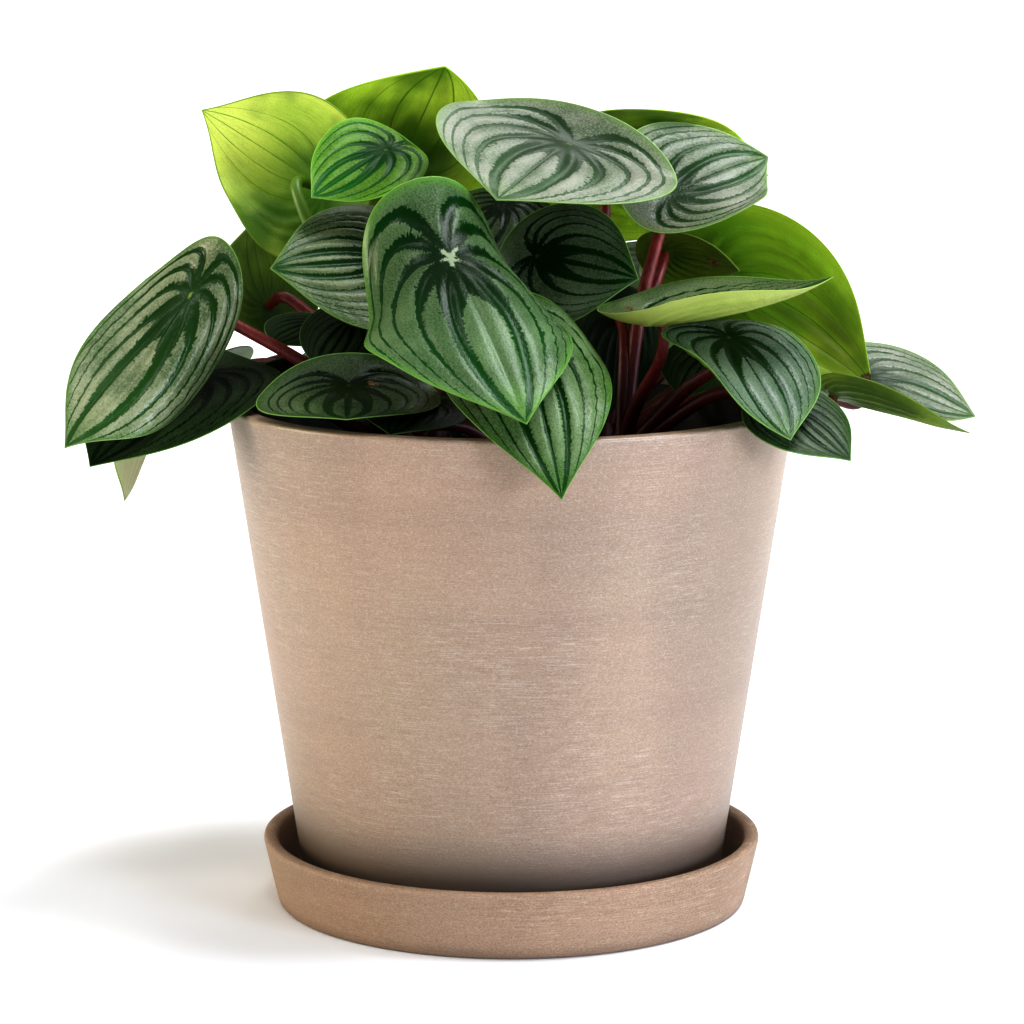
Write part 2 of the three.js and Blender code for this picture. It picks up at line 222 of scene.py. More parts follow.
camera = {"place": (0.0, -0.970, 0.272), "aim": (0.0, 0.0, 0.1115), "lens": 121.8, "sensor": 36.0,
          "shift": 0.0007, "clip": (0.02, 200.0)}
studio = {"floorWidth": 80.0, "floorColour": (0.9, 0.91, 0.925), "exposure": 0.25, "gamma": 0.72,
          "skyLow": 0.1, "skyHigh": 0.55, "skyTop": 0.95}

# Wide soft lights from afar: azimuth from the camera's side towards +X, elevation, width, strength and tint.
suns = {
    "keyRight": (93, 67, 28, 2.3, (0.98, 0.99, 1.03)),
    "fillLeft": (-90, 6, 32, 2.7, (1.0, 0.91, 0.7)),
    "softFront": (48, 10, 20, 1.9, (0.87, 0.99, 1.2)),
    "softRight": (82, 8, 20, 0.8, (0.85, 0.98, 1.25)),
    "glossLeft": (-86, 60, 12, 0.4, (1.0, 1.0, 1.0)),
    "glossBack": (165, 50, 18, 0.35, (1.0, 1.0, 1.0)),
    "glossFront": (2, 65, 9, 0.25, (1.0, 1.0, 1.0)),
}


def makeCamera():
    data = bpy.data.cameras.new("photoCamera")
    data.sensor_width = camera["sensor"]
    data.lens = camera["lens"]
    data.shift_x = camera["shift"]
    data.clip_start, data.clip_end = camera["clip"]
    made = sceneObject("photoCamera", data)
    made.location = camera["place"]
    looking = Vector(camera["aim"]) - Vector(camera["place"])
    made.rotation_euler = looking.to_track_quat("-Z", "Y").to_euler()
    bpy.context.scene.camera = made


def makeFloor():
    half = studio["floorWidth"] / 2
    material = dress(newMaterial("paleFloor")[0], studio["floorColour"], 0.9, specular=0.1)
    corners = [(-half, -half, 0), (half, -half, 0), (half, half, 0), (-half, half, 0)]
    mesh = meshOf("floor", corners, [], [(0, 1, 2, 3)])
    mesh.materials.append(material)
    sceneObject("floor", mesh)


def makeSky():
    # Dim at the horizon and bright overhead.
    world = bpy.data.worlds.new("studio")
    world.use_nodes = True
    tree = world.node_tree
    rise = result(tree, "ShaderNodeMapRange", {
        "Value": split(addNode(tree, "ShaderNodeTexCoord").outputs["Generated"])["Z"],
        "From Max": studio["skyTop"], "To Min": studio["skyLow"], "To Max": studio["skyHigh"],
    })
    feed(tree.nodes["Background"].inputs["Color"], (1.0, 1.0, 1.0))
    feed(tree.nodes["Background"].inputs["Strength"], rise)
    bpy.context.scene.world = world


def makeSuns():
    for name, (azimuth, elevation, width, strength, tint) in suns.items():
        data = bpy.data.lights.new(name, "SUN")
        data.angle = math.radians(width)
        data.energy = strength
        data.color = tint
        a, e = math.radians(azimuth), math.radians(elevation)
        place = Vector((math.sin(a) * math.cos(e), -math.cos(a) * math.cos(e), math.sin(e)))
        lamp = sceneObject(name, data)
        lamp.location = place * 2
        lamp.rotation_euler = (-place).to_track_quat("-Z", "Y").to_euler()


makeCamera()
makeFloor()
makeSky()
makeSuns()
settings = bpy.context.scene.view_settings
settings.view_transform = "Standard"
settings.exposure, settings.gamma = studio["exposure"], studio["gamma"]
print("studio ready")


saucerForm = {"baseRadius": 67.0, "rimRadius": 71.4, "height": 19.3, "wall": 4.2, "floor": 4.7, "edge": 1.9,
              "foot": 4.0}
potForm = {"rimRadius": 80.0, "rimHeight": 143.4, "taper": 0.149, "wall": 6.0, "floor": 7.0, "edge": 1.3,
           "drain": 7.0, "base": 5.0}
linerForm = {"baseRadius": 50.0, "bodyRadius": 68.5, "lipRadius": 71.8, "lipDrop": 8.0, "lipFlare": 0.6,
             "rimHeight": 141.0, "wall": 1.0, "base": 12.3, "drainHoles": 6, "drainRadius": 4.0,
             "drainCircle": 30.0, "drainSides": 24}


def circle(tree, sides, radius):
    return result(tree, "GeometryNodeCurvePrimitiveCircle", {"Resolution": sides, "Radius": radius})


def swept(tree, inputs, material, weld=None):
    # A smooth body swept along a curve; the weld closes it where the sweep comes back to its start.
    body = result(tree, "GeometryNodeCurveToMesh", inputs)
    if weld is not None:
        body = result(tree, "GeometryNodeMergeByDistance", {"Geometry": body, "Distance": weld})
    return painted(tree, result(tree, "GeometryNodeSetShadeSmooth", {"Geometry": body}), material)


def wheelTree():
    # Sweeps an outline round a circle that is next to nothing, so that its radii count from the axis.
    tree, given = newTree("turnOnWheel", [("Outline", "Geometry", None), ("Segments", "Int", 192),
                                          ("Clay", "Material", None)], "Body")
    outline = result(tree, "GeometryNodeMeshToCurve", {"Mesh": given["Outline"]})
    ends = {"Curve": circle(tree, given["Segments"], 1e-7), "Profile Curve": outline}
    addNode(tree, "NodeGroupOutput", {"Body": swept(tree, ends, given["Clay"], weld=2e-6)})
    return tree


turnOnWheel = wheelTree()


def roundCorner(corner, before, after, radius, steps=5):
    # Points of a rounded corner between two straight runs of an outline.
    corner, before, after = (np.array(p, dtype=float) for p in (corner, before, after))
    start = corner + (before - corner) / np.linalg.norm(before - corner) * radius
    end = corner + (after - corner) / np.linalg.norm(after - corner) * radius
    return [tuple((1 - t) ** 2 * start + 2 * t * (1 - t) * corner + t ** 2 * end)
            for t in (i / steps for i in range(steps + 1))]


def roundedOutline(corners, closed):
    # Every corner is (radius, height, rounding).
    points = []
    count = len(corners)
    for i, (r, z, rounding) in enumerate(corners):
        if rounding == 0 or (not closed and i in (0, count - 1)):
            points.append((r, z))
        else:
            points += roundCorner((r, z), corners[i - 1][:2], corners[(i + 1) % count][:2], rounding)
    return points


def splitRuns(points, longest, closed):
    # Adds points along long straight runs, so that the faces stay even.
    even = []
    count = len(points)
    for i in range(count if closed else count - 1):
        a, b = np.array(points[i]), np.array(points[(i + 1) % count])
        parts = max(1, math.ceil(np.linalg.norm(b - a) / longest))
        even += [tuple(a + (b - a) * k / parts) for k in range(parts)]
    return even if closed else even + [tuple(points[-1])]


def turned(name, corners, material, closed=False, segments=192, longest=3.0):
    # A body turned from a rounded outline, with its faces pointing outwards.
    points = splitRuns(roundedOutline(corners, closed), longest, closed)
    count = len(points)
    edges = [(i, i + 1) for i in range(count - 1)] + ([(count - 1, 0)] if closed else [])
    drawn = metres([(r, -z, 0.0) for r, z in points])
    outline = sceneObject(name + "Outline", meshOf(name + "Outline", drawn, edges, []))
    mesh = runTree(outline, turnOnWheel, {"Segments": segments, "Clay": material})
    work = bmesh.new()
    work.from_mesh(mesh)
    bmesh.ops.recalc_face_normals(work, faces=work.faces)
    work.to_mesh(mesh)
    work.free()
    return mesh


# How fine each grain of the clay is round the pot and up it.
clayGrain = {"scratches": (150.0, 150.0, 4000.0), "bands": (7.0, 7.0, 130.0), "smears": (24.0, 24.0, 5.0),
             "grain": (1700.0, 1700.0, 3600.0), "clouds": 16.0, "worn": 22.0}
# The foot colour and its strength darken the lowest part of each piece as painted shade.
clayLooks = {
    "saucer": dict(
        body=(0.35, 0.24, 0.17), warm=(0.37, 0.24, 0.165), pale=(0.53, 0.45, 0.33), dark=(0.19, 0.13, 0.08),
        damp=(0.2, 0.13, 0.09), smear=0.3, scratch=0.55, band=0.3, grain=0.4, foot=0.55, footShadeHeight=0.007,
        roughness=0.6, shine=0.35, relief=0.0001),
    "pot": dict(
        body=(0.337, 0.246, 0.168), warm=(0.365, 0.246, 0.168), pale=(0.5, 0.44, 0.38),
        dark=(0.18, 0.12, 0.085), damp=(0.12, 0.088, 0.066), smear=0.3, scratch=0.55, band=0.2, grain=0.4,
        foot=0.95, footShadeHeight=0.042, roughness=0.42, shine=0.8, relief=0.00008),
}


def clayMaterial(name, look):
    material, tree = newMaterial(name)
    place = objectPlace(tree)
    scratches = noise(place, clayGrain["scratches"], 3.0, 0.65)
    bands = noise(place, clayGrain["bands"], 3.0)
    clouds = noise(place, clayGrain["clouds"], 3.0)
    smears = noise(place, clayGrain["smears"])
    grain = noise(place, clayGrain["grain"], 2.0, 0.7)
    worn = soften(noise(place, clayGrain["worn"]), 0.38, 0.62, 0.35, 1.0)
    # Darker towards the bottom: painted shade on the saucer next to the floor and on the pot down in its
    # saucer.
    fade = look["footShadeHeight"]
    foot = soften(plus(split(place)["Z"], times(clouds, 0.006)), fade, fade * 0.45, 0.0, look["foot"])
    body = coats(
        look["body"],
        (soften(clouds, 0.3, 0.7), look["warm"]),
        (soften(bands, 0.35, 0.75, 0.0, look["band"]), look["dark"]),
        # Darker upright streaks at random places round the pot.
        (soften(smears, 0.45, 0.7, 0.0, look["smear"]), look["dark"]),
        (times(soften(scratches, 0.53, 0.68), worn, look["scratch"]), look["pale"]),
        (times(soften(scratches, 0.48, 0.34), worn, look["scratch"] * 0.7), look["dark"]),
        (soften(grain, 0.5, 0.68, 0.0, look["grain"]), look["pale"]),
        (soften(grain, 0.5, 0.34, 0.0, look["grain"]), look["dark"]),
        (foot, look["damp"]),
    )
    roughness = plus(times(grain, 0.14), look["roughness"] - 0.07)
    height = plus(times(scratches, 0.5), times(grain, 0.5))
    return dress(material, body, roughness, look["shine"], height, look["relief"])


def plasticMaterial():
    material, tree = newMaterial("blackPlastic")
    place = objectPlace(tree)
    dust = soften(noise(place, 240.0, 3.0, 0.6), 0.5, 0.8, 0.0, 0.25)
    scuffs = noise(place, (60.0, 60.0, 400.0), 3.0, 0.6)
    body = mixColour(dust, (0.012, 0.012, 0.013), (0.09, 0.08, 0.07))
    return dress(material, body, soften(scuffs, 0.3, 0.7, 0.32, 0.55), height=noise(place, 1500.0),
                 relief=0.00005)


def makeSaucer():
    form = saucerForm
    flare = (form["rimRadius"] - form["baseRadius"]) / form["height"]
    innerBase = form["baseRadius"] - form["wall"] + flare * form["floor"]
    corners = [
        (0.0, 0.0, 0), (form["baseRadius"] - form["foot"], 0.0, 0), (form["baseRadius"], 0.0, 1.2),
        (form["rimRadius"], form["height"], form["edge"]),
        (form["rimRadius"] - form["wall"], form["height"], form["edge"]),
        (innerBase, form["floor"], 2.0), (0.0, form["floor"], 0),
    ]
    mesh = turned("claySaucer", corners, clayMaterial("claySaucerClay", clayLooks["saucer"]))
    makePiece("claySaucer", mesh, "saucer_clay", "saucer")


def makePot():
    form = potForm
    floorTop = form["base"] + form["floor"]
    footRadius, floorRadius = (form["rimRadius"] - form["taper"] * (form["rimHeight"] - z)
                               for z in (form["base"], floorTop))
    corners = [
        (form["drain"], form["base"], 0.6), (footRadius, form["base"], 1.4),
        (form["rimRadius"], form["rimHeight"], form["edge"]),
        (form["rimRadius"] - form["wall"], form["rimHeight"], 1.6),
        (floorRadius - form["wall"], floorTop, 2.6), (form["drain"], floorTop, 0.8),
    ]
    mesh = turned("clayPot", corners, clayMaterial("clayPotClay", clayLooks["pot"]), closed=True)
    makePiece("clayPot", mesh, "pot_clay", "clay_pot")


def ray(k, count, radius=1.0):
    # The k-th of so many points round a circle.
    a = fullTurn * k / count
    return radius * math.cos(a), radius * math.sin(a)


def drainCutter():
    # One upright prism for each drain hole, through the liner's floor.
    form = linerForm
    sides = form["drainSides"]
    vertices, faces = [], []
    for hole in range(form["drainHoles"]):
        x, y = ray(hole, form["drainHoles"], form["drainCircle"])
        start = len(vertices)
        for z in (form["base"] - 1, form["base"] + 2):
            for k in range(sides):
                dx, dy = ray(k, sides, form["drainRadius"])
                vertices.append((x + dx, y + dy, z))
        for k in range(sides):
            n = (k + 1) % sides
            faces.append((start + k, start + n, start + sides + n, start + sides + k))
        faces.append(tuple(start + k for k in reversed(range(sides))))
        faces.append(tuple(start + sides + k for k in range(sides)))
    return sceneObject("drainCutter", meshOf("drainCutter", metres(vertices), [], faces))


def makeLiner():
    form = linerForm
    rim, base, wall = form["rimHeight"], form["base"], form["wall"]
    lipBottom = rim - form["lipDrop"]
    corners = [
        (0.0, base, 0), (form["baseRadius"], base, 1.2), (form["bodyRadius"], lipBottom, 0.4),
        (form["lipRadius"] - form["lipFlare"], lipBottom, 0.5), (form["lipRadius"], rim, 0.35),
        (form["lipRadius"] - wall, rim, 0.35), (form["bodyRadius"] - wall, lipBottom + wall, 0.6),
        (form["baseRadius"] - wall, base + wall, 1.0), (0.0, base + wall, 0),
    ]
    liner = sceneObject("liner", turned("nurseryPot", corners, plasticMaterial(), segments=144, longest=4.0))
    cutter = drainCutter()
    cut = liner.modifiers.new("drainHoles", "BOOLEAN")
    cut.operation = "DIFFERENCE"
    cut.solver = "EXACT"
    cut.object = cutter
    mesh = keepMesh(liner, cut)
    bpy.data.objects.remove(cutter)
    makePiece("nurseryPot", mesh, "pot_plastic", "nursery_pot")


makeSaucer()
makePot()
makeLiner()
print("clay and nursery pot turned")


# The profile of the soil's top is (radius, height) from the middle outwards.
soilForm = {
    "profile": ((0.0, 127.0), (12.0, 128.0), (26.0, 126.0), (44.0, 127.0), (58.0, 125.0), (66.4, 124.0)),
    "rings": 34, "spokes": 96, "lumps": 0.7, "settled": 0.4, "bottom": 13.6, "bottomRadius": 48.6,
    "strewn": {"Crumb Density": 90000.0, "Crumb Size": 0.0015, "Perlite Density": 9000.0,
               "Perlite Size": 0.0015, "Seed": 7},
    "facingUp": 0.6, "smallest": (0.35, 0.35, 0.25), "largest": (1.2, 1.0, 0.8), "turns": (6.28, 6.28, 6.28),
    "perliteSeed": 11,
}


def soilMaterial():
    material, tree = newMaterial("pottingSoil")
    place = objectPlace(tree)
    clods = noise(place, 260.0, 4.0, 0.65)
    fibres = noise(place, 900.0, 2.0, 0.6)
    body = coats((0.008, 0.005, 0.0035), (soften(clods, 0.3, 0.7), (0.035, 0.022, 0.014)),
                 (soften(fibres, 0.6, 0.75, 0.0, 0.5), (0.08, 0.052, 0.032)))
    return dress(material, body, 0.92, 0.2, clods, 0.0012)


def perliteMaterial():
    material, tree = newMaterial("perlite")
    pits = noise(objectPlace(tree), 1400.0, 3.0, 0.6)
    body = mixColour(soften(pits, 0.3, 0.7), (0.32, 0.3, 0.27), (0.62, 0.6, 0.56))
    return dress(material, body, 0.85, height=pits, relief=0.0003)


def crumbTree():
    form = soilForm
    numbers = [(name, "Int" if name == "Seed" else "Float", value) for name, value in form["strewn"].items()]
    tree, given = newTree("strewCrumbs", [("Ground", "Geometry", None), *numbers, ("Soil", "Material", None),
                                          ("Perlite", "Material", None)], "Bed")
    facing = split(result(tree, "GeometryNodeInputNormal"))["Z"]
    facesUp = result(tree, "FunctionNodeCompare", {0: facing, 1: form["facingUp"]}, data_type="FLOAT",
                     operation="GREATER_THAN")
    layers = [painted(tree, given["Ground"], given["Soil"])]
    for kind, material, shift in (("Crumb", "Soil", 0), ("Perlite", "Perlite", form["perliteSeed"])):
        seed = plus(given["Seed"], shift)
        density = given[kind + " Density"]
        spots = {"Mesh": given["Ground"], "Selection": facesUp, "Density": density, "Seed": seed}
        lump = {"Subdivisions": 1, "Radius": given[kind + " Size"]}
        turns = {"Max": form["turns"], "Seed": seed}
        sizes = {"Min": form["smallest"], "Max": form["largest"], "Seed": seed}
        strewn = result(tree, "GeometryNodeInstanceOnPoints", {
            "Points": result(tree, "GeometryNodeDistributePointsOnFaces", spots, distribute_method="RANDOM"),
            "Instance": result(tree, "GeometryNodeMeshIcoSphere", lump),
            "Rotation": result(tree, "FunctionNodeRandomValue", turns, data_type="FLOAT_VECTOR"),
            "Scale": result(tree, "FunctionNodeRandomValue", sizes, data_type="FLOAT_VECTOR"),
        })
        layers.append(painted(tree, strewn, given[material]))
    join = addNode(tree, "GeometryNodeJoinGeometry")
    for layer in layers:
        feed(join.inputs["Geometry"], layer)
    addNode(tree, "NodeGroupOutput", {"Bed": join.outputs["Geometry"]})
    return tree


def soilGround():
    form = soilForm
    rings, spokes = form["rings"], form["spokes"]
    radii, heights = zip(*form["profile"])
    rays = [ray(j, spokes) for j in range(spokes)]
    vertices = [(0.0, 0.0, heights[0])]
    for i in range(1, rings + 1):
        r = radii[-1] * i / rings
        for x, y in ((r * c, r * s) for c, s in rays):
            lumps = 0.9 * math.sin(0.21 * x + 1.3) * math.cos(0.26 * y) + 0.5 * math.sin(0.5 * x - 0.43 * y)
            lumps *= 1 - (i / rings) ** 6
            vertices.append((x, y, np.interp(r, radii, heights) + lumps * form["lumps"] - form["settled"]))
    base = len(vertices)
    vertices += [(form["bottomRadius"] * c, form["bottomRadius"] * s, form["bottom"]) for c, s in rays]
    faces = []
    edge = 1 + (rings - 1) * spokes
    for j in range(spokes):
        n = (j + 1) % spokes
        faces.append((0, 1 + j, 1 + n))
        for a in range(1, edge, spokes):
            faces.append((a + j, a + spokes + j, a + spokes + n, a + n))
        faces.append((edge + j, base + j, base + n, edge + n))
    faces.append(tuple(base + j for j in reversed(range(spokes))))
    return sceneObject("soilGround", meshOf("soilGround", metres(vertices), [], faces))


paints = {"Soil": soilMaterial(), "Perlite": perliteMaterial()}
bed = runTree(soilGround(), crumbTree(), {**soilForm["strewn"], **paints})
makePiece("soilBed", bed, "soil", "soil")
print("soil laid")


# The stems' places, and where the petiole of each blade goes from its stem.
stems = {
    "front": (2, -30), "left": (-30, -12), "right": (31, -14), "back_left": (-22, 24), "back_right": (26, 18),
    "centre": (0, 2),
}
stemForm = {"radius": 6.0, "tipRadius": 4.0, "foot": 99.8, "top": 136.0, "rings": 12, "endShare": 0.55}
petioleForm = {
    "rootRadius": 2.1, "endRadius": 1.4, "rootHeight": 130.0, "reach": 14.0, "sides": 16, "points": 44,
    "flare": 0.7, "flareReach": 0.06, "intoBlade": 0.25, "lean": 0.25, "rise": 0.55,
    "darkBelow": (166.0, 142.0), "greenAt": (-58.0, 24.0, 196.0), "greenReach": 30.0,
}
bladeForm = {
    "cadThickness": 0.8, "petioleGap": 0.4, "thickness": 0.55, "rimThickness": 0.22, "seatThickness": 0.8,
    "seatWidth": 0.07, "spokes": 144, "rings": 23, "innerRings": 0.955, "rimRings": (0.975, 0.99, 1.0),
    "undulation": 0.35, "groove": 0.8, "grooveWidth": 0.032, "ribDepth": 0.6, "ribWidth": 0.025,
    "dimple": 0.35, "dimpleWidth": 0.09, "edgeFade": 5.0, "tipFade": 0.3, "seatFade": 0.25,
    "swells": (0.16, 0.19), "usualLength": 55, "spokePower": 1.4, "ringPower": 0.95, "grainShift": 37.0,
}

# Where each blade's petiole joins it (seat), its point (tip), the way its upper side looks (face), and
# its form: droop and nod along the midrib, cup and cupBase of the left and right side. The petiole goes by
# way of via and comes up to the blade from below over its reach. A mark is (along, aside, size).
bladeHabit = dict(droop=10, nod=10, cup=(10, 10), width=1.0, base=1.0, belly=0, wave=0, upper="grown",
                  under="plain", mark=(0.0, 0.0, 0.0))
blades = {
    "front_large": dict(stem="front", seat=(-16, -56, 189), tip=(4, -96, 150), face=(0.12, -0.8, 0.6),
        droop=20, nod=-35, cup=(55, 8), cupBase=(95, 85), width=0.86, base=1.18, via=(-20, -36, 165),
        upper="starred"),
    "front_hanging": dict(stem="front", seat=(2, -54, 169), tip=(13, -93, 130), face=(0.1, -0.75, 0.65),
        droop=35, nod=-5, cup=(30, 20), cupBase=(50, 60), width=0.71, base=0.9, belly=-0.2,
        via=(6, -38, 150), reach=6, upper="green"),
    "front_left_low": dict(stem="left", seat=(-44, -40, 153), tip=(-43, -72, 148), face=(0, -0.5, 0.86),
        droop=-15, nod=-45, width=1.25, via=(-42, -24, 146), reach=5, upper="deep",
        mark=(-0.03, 0.16, 0.9)),
    "front_low_dark": dict(stem="front", seat=(-24, -45, 149), tip=(-32, -66, 143), face=(-0.1, -0.5, 0.85),
        via=(-12, -38, 141), reach=4, upper="shade"),
    "left_middle": dict(stem="left", seat=(-31, -12, 184), tip=(-66, -24, 183), face=(-0.1, -0.8, 0.55),
        cup=(0, 25)),
    "left_large": dict(stem="left", seat=(-89, -15, 175), tip=(-121, -42, 136), face=(-0.5, -0.65, 0.58),
        droop=-15, nod=-20, cup=(95, -20), cupBase=(95, -10), width=0.51, base=0.82, belly=0.55,
        upper="silver"),
    "left_lower": dict(stem="left", seat=(-86, -8, 152), tip=(-115, -36, 130), face=(-0.3, -0.55, 0.75),
        nod=30, cup=(-10, -20), via=(-60, -17, 146), reach=4, upper="shade"),
    "left_hanging": dict(stem="back_left", seat=(-103, 14, 136), tip=(-111, 10, 113), face=(-0.9, 0.3, 0.2),
        cup=(-35, -35), width=0.9, via=(-74, 30, 150), reach=6, upper="silver", under="pale"),
    "left_rim": dict(stem="left", seat=(-60, 14, 149), tip=(-82, 8, 149), face=(-0.2, 0.25, 0.95),
        droop=-10, nod=-10, cup=(-45, -45), width=0.75, via=(-46, 8, 144), reach=4, upper="shade",
        under="dim"),
    "left_inner": dict(stem="left", seat=(-55, 6, 165), tip=(-67, -7, 160), face=(-0.2, -0.5, 0.8),
        width=1.2, via=(-42, -3, 152), reach=6, upper="shade"),
    "left_inner_dark": dict(stem="left", seat=(-43, -16, 168), tip=(-53, -28, 155), face=(-0.2, -0.6, 0.8),
        width=1.2, upper="shade"),
    "left_upright": dict(stem="back_left", seat=(-72, 46, 165), tip=(-77, 52, 189), face=(-0.6, 0.7, -0.1),
        cup=(20, 20), width=1.2, base=1.2, via=(-46, 36, 152), reach=8, under="olive"),
    "top_large": dict(stem="centre", seat=(16, -5, 216), tip=(-4, -42, 203), face=(0.12, -0.42, 0.9),
        droop=15, nod=-45, cup=(0, -5), width=1.3, via=(15, 9, 184), reach=8, upper="sheen"),
    "top_right": dict(stem="right", seat=(44, -2, 202), tip=(73, 16, 211), face=(0.05, -0.75, 0.65),
        droop=15, cup=(-15, -45), wave=2, via=(36, -7, 170), reach=7, upper="sheen"),
    "young_left": dict(stem="centre", seat=(-35, 2, 214), tip=(-55, -14, 201), face=(-0.3, -0.8, 0.5),
        droop=15, nod=30, cup=(10, -20), width=0.85, wave=2, upper="young"),
    "middle_dark": dict(stem="centre", seat=(7, -16, 186), tip=(35, -23, 180), face=(0.2, -0.75, 0.6),
        droop=15, cup=(15, 15), width=1.25, upper="deep"),
    "back_left_high": dict(stem="back_left", seat=(-54, 30, 201), tip=(-90, 42, 223), face=(-0.3, 0.9, 0.3),
        droop=25, cup=(35, 95), cupBase=(45, 40), width=0.98, belly=-0.25, via=(-44, 10, 166),
        under="bright"),
    "back_top_left": dict(stem="back_left", seat=(-35, 60, 201), tip=(-19, 34, 236), face=(-0.2, 0.8, 0.5),
        cup=(90, 8), width=1.05, base=0.7, belly=0.6, via=(-29, 42, 176), under="backlit"),
    "back_right_high": dict(stem="back_right", seat=(26, 34, 210), tip=(75, 42, 204), face=(0.2, 0.75, 0.6),
        cup=(15, 35), under="backlit"),
    "right_level": dict(stem="right", seat=(41, -38, 170), tip=(87, -36, 182), face=(-0.25, -0.05, 0.95),
        droop=-15, nod=-35, cup=(-35, -45), width=0.8, under="lit", mark=(-0.18, 0.3, 1.5)),
    "front_right": dict(stem="right", seat=(59, -38, 166), tip=(74, -62, 141), face=(0.35, -0.7, 0.62),
        droop=20, nod=30, cup=(15, -55), cupBase=(15, -8), base=0.8, via=(48, -26, 150), reach=8,
        upper="glossy"),
    "right_curled": dict(stem="back_right", seat=(44, 18, 184), tip=(65, 12, 179), face=(0.05, 0.6, 0.75),
        droop=20, cup=(20, 20), width=1.1, under="olive", mark=(0.65, -0.03, 1.8)),
    "right_large": dict(stem="back_right", seat=(59, 36, 174), tip=(105, 28, 144), face=(0.45, 0.75, 0.5),
        droop=15, cup=(-70, 0), width=1.05, under="leafy", mark=(0.99, 0.0, 4.0)),
    "right_lower": dict(stem="right", seat=(73, -40, 148), tip=(91, -52, 134), face=(0.4, -0.6, 0.65),
        droop=15, base=0.8, via=(60, -30, 150), reach=3, upper="deep"),
    "right_outer": dict(stem="back_right", seat=(105, 56, 143), tip=(138, 50, 132), face=(0.25, -0.55, 0.8),
        nod=-10, cup=(10, -50), via=(68, 46, 148), reach=9, upper="sheen"),
    "right_outer_low": dict(stem="back_right", seat=(92, 10, 144), tip=(130, 2, 134),
        face=(-0.05, 0.3, 0.95), droop=0, nod=0, cup=(-35, -35), width=0.6, base=0.5, via=(70, 13, 149),
        reach=3, upper="shade", under="olive"),
    "middle_right": dict(stem="right", seat=(30, 2, 166), tip=(28, -2, 140), face=(-0.2, 0.9, -0.3),
        width=0.8, upper="shade", under="dim"),
    "right_inner": dict(stem="right", seat=(56, -2, 158), tip=(47, -16, 146), face=(-0.2, -0.6, 0.8),
        via=(50, 4, 148), reach=4, upper="shade"),
    "back_low_centre": dict(stem="back_left", seat=(4, 62, 160), tip=(6, 96, 130), face=(0.1, 0.75, 0.65),
        droop=30, nod=20, cup=(20, 20), width=0.85),
    "back_low_left": dict(stem="back_left", seat=(-42, 62, 158), tip=(-66, 86, 126), face=(-0.5, 0.5, 0.7),
        droop=30, nod=20, cup=(20, 20), width=0.85),
    "back_low_right": dict(stem="back_right", seat=(55, 63, 156), tip=(77, 87, 126), face=(0.5, 0.5, 0.7),
        droop=30, nod=20, cup=(20, 20), width=0.85),
    "back_middle_left": dict(stem="back_left", seat=(-24, 76, 180), tip=(-36, 104, 152),
        face=(-0.2, 0.75, 0.6), droop=25, nod=15, cup=(20, 20)),
    "back_middle_right": dict(stem="back_right", seat=(44, 72, 177), tip=(61, 97, 149),
        face=(0.3, 0.75, 0.6), droop=25, nod=15, cup=(20, 20), upper="silver"),
    "back_top": dict(stem="centre", seat=(3, 63, 189), tip=(6, 99, 169), face=(0.1, 0.4, 0.9), droop=25,
        cup=(20, 20), upper="sheen"),
    "left_far_back": dict(stem="back_left", seat=(-90, 36, 149), tip=(-115, 46, 125), face=(-0.6, 0.3, 0.7),
        droop=20, cup=(15, 15), via=(-64, 42, 150), reach=5),
    "centre_inner": dict(stem="centre", seat=(-2, 22, 197), tip=(-11, 6, 182), face=(-0.1, -0.6, 0.8),
        droop=15, cup=(15, 15), width=1.2, upper="deep"),
}
blades = {name: {**bladeHabit, **habit} for name, habit in blades.items()}

# The dark bands leave the seat at these angles and run to the tip, the outer ones beside the margin. Their
# widths go from the middle of the blade to its base, over the angles of the fan.
bands = {
    "angles": (36.0, 77.0, 112.0, 140.0, 163.0), "squash": 1.1, "hug": 4.0, "hugFrom": 40.0, "hugTo": 112.0,
    "fan": (25.0, 125.0), "widths": (0.046, 0.024), "teeth": 0.06, "toothScale": (20.0, 6.0), "spikes": 0.04,
    "spikeScale": (5.5, 2.4), "fringe": 0.016, "heart": 0.16, "heartReach": 0.48, "blur": 0.0035,
    "ribBlur": 0.003, "underSpacing": 0.9,
}
# The pale spot where the petiole joins, and its other colour on a leaf with rays.
seatSpot = {"size": 0.018, "growth": 0.014, "blur": 0.012, "rays": (0.01, 0.06), "raySharpness": 5.0,
            "plain": (0.25, 0.34, 0.06), "rayed": (0.26, 0.31, 0.2)}

# Half a blade's width and how far it reaches behind its seat, in blade lengths.
widest = 0.61
baseReach = 0.385


def outlineRadius(turn):
    # A blade's outline round its seat, in blade lengths: round behind, and a drawn-out point at turn 0.
    return 0.585 + 0.2 * np.cos(turn) + 0.215 * np.exp(-np.abs(turn) / 0.25)


def smoothStep(part):
    part = np.clip(part, 0, 1)
    return part * part * (3 - 2 * part)


def hill(distance, width):
    return np.exp(-(distance / width) ** 2)


def arcRun(distance, rate):
    # How far a bending line gets ahead and how far it falls.
    turn = rate * distance
    still = np.abs(turn) < 1e-6
    safe = np.where(still, 1.0, rate)
    run = np.where(still, distance, np.sin(turn) / safe)
    drop = np.where(still, 0.0, (1 - np.cos(turn)) / safe)
    return run, drop, turn


def turnAbout(vector, axis, angle):
    return (vector * math.cos(angle) + np.cross(axis, vector) * math.sin(angle)
            + axis * np.dot(axis, vector) * (1 - math.cos(angle)))


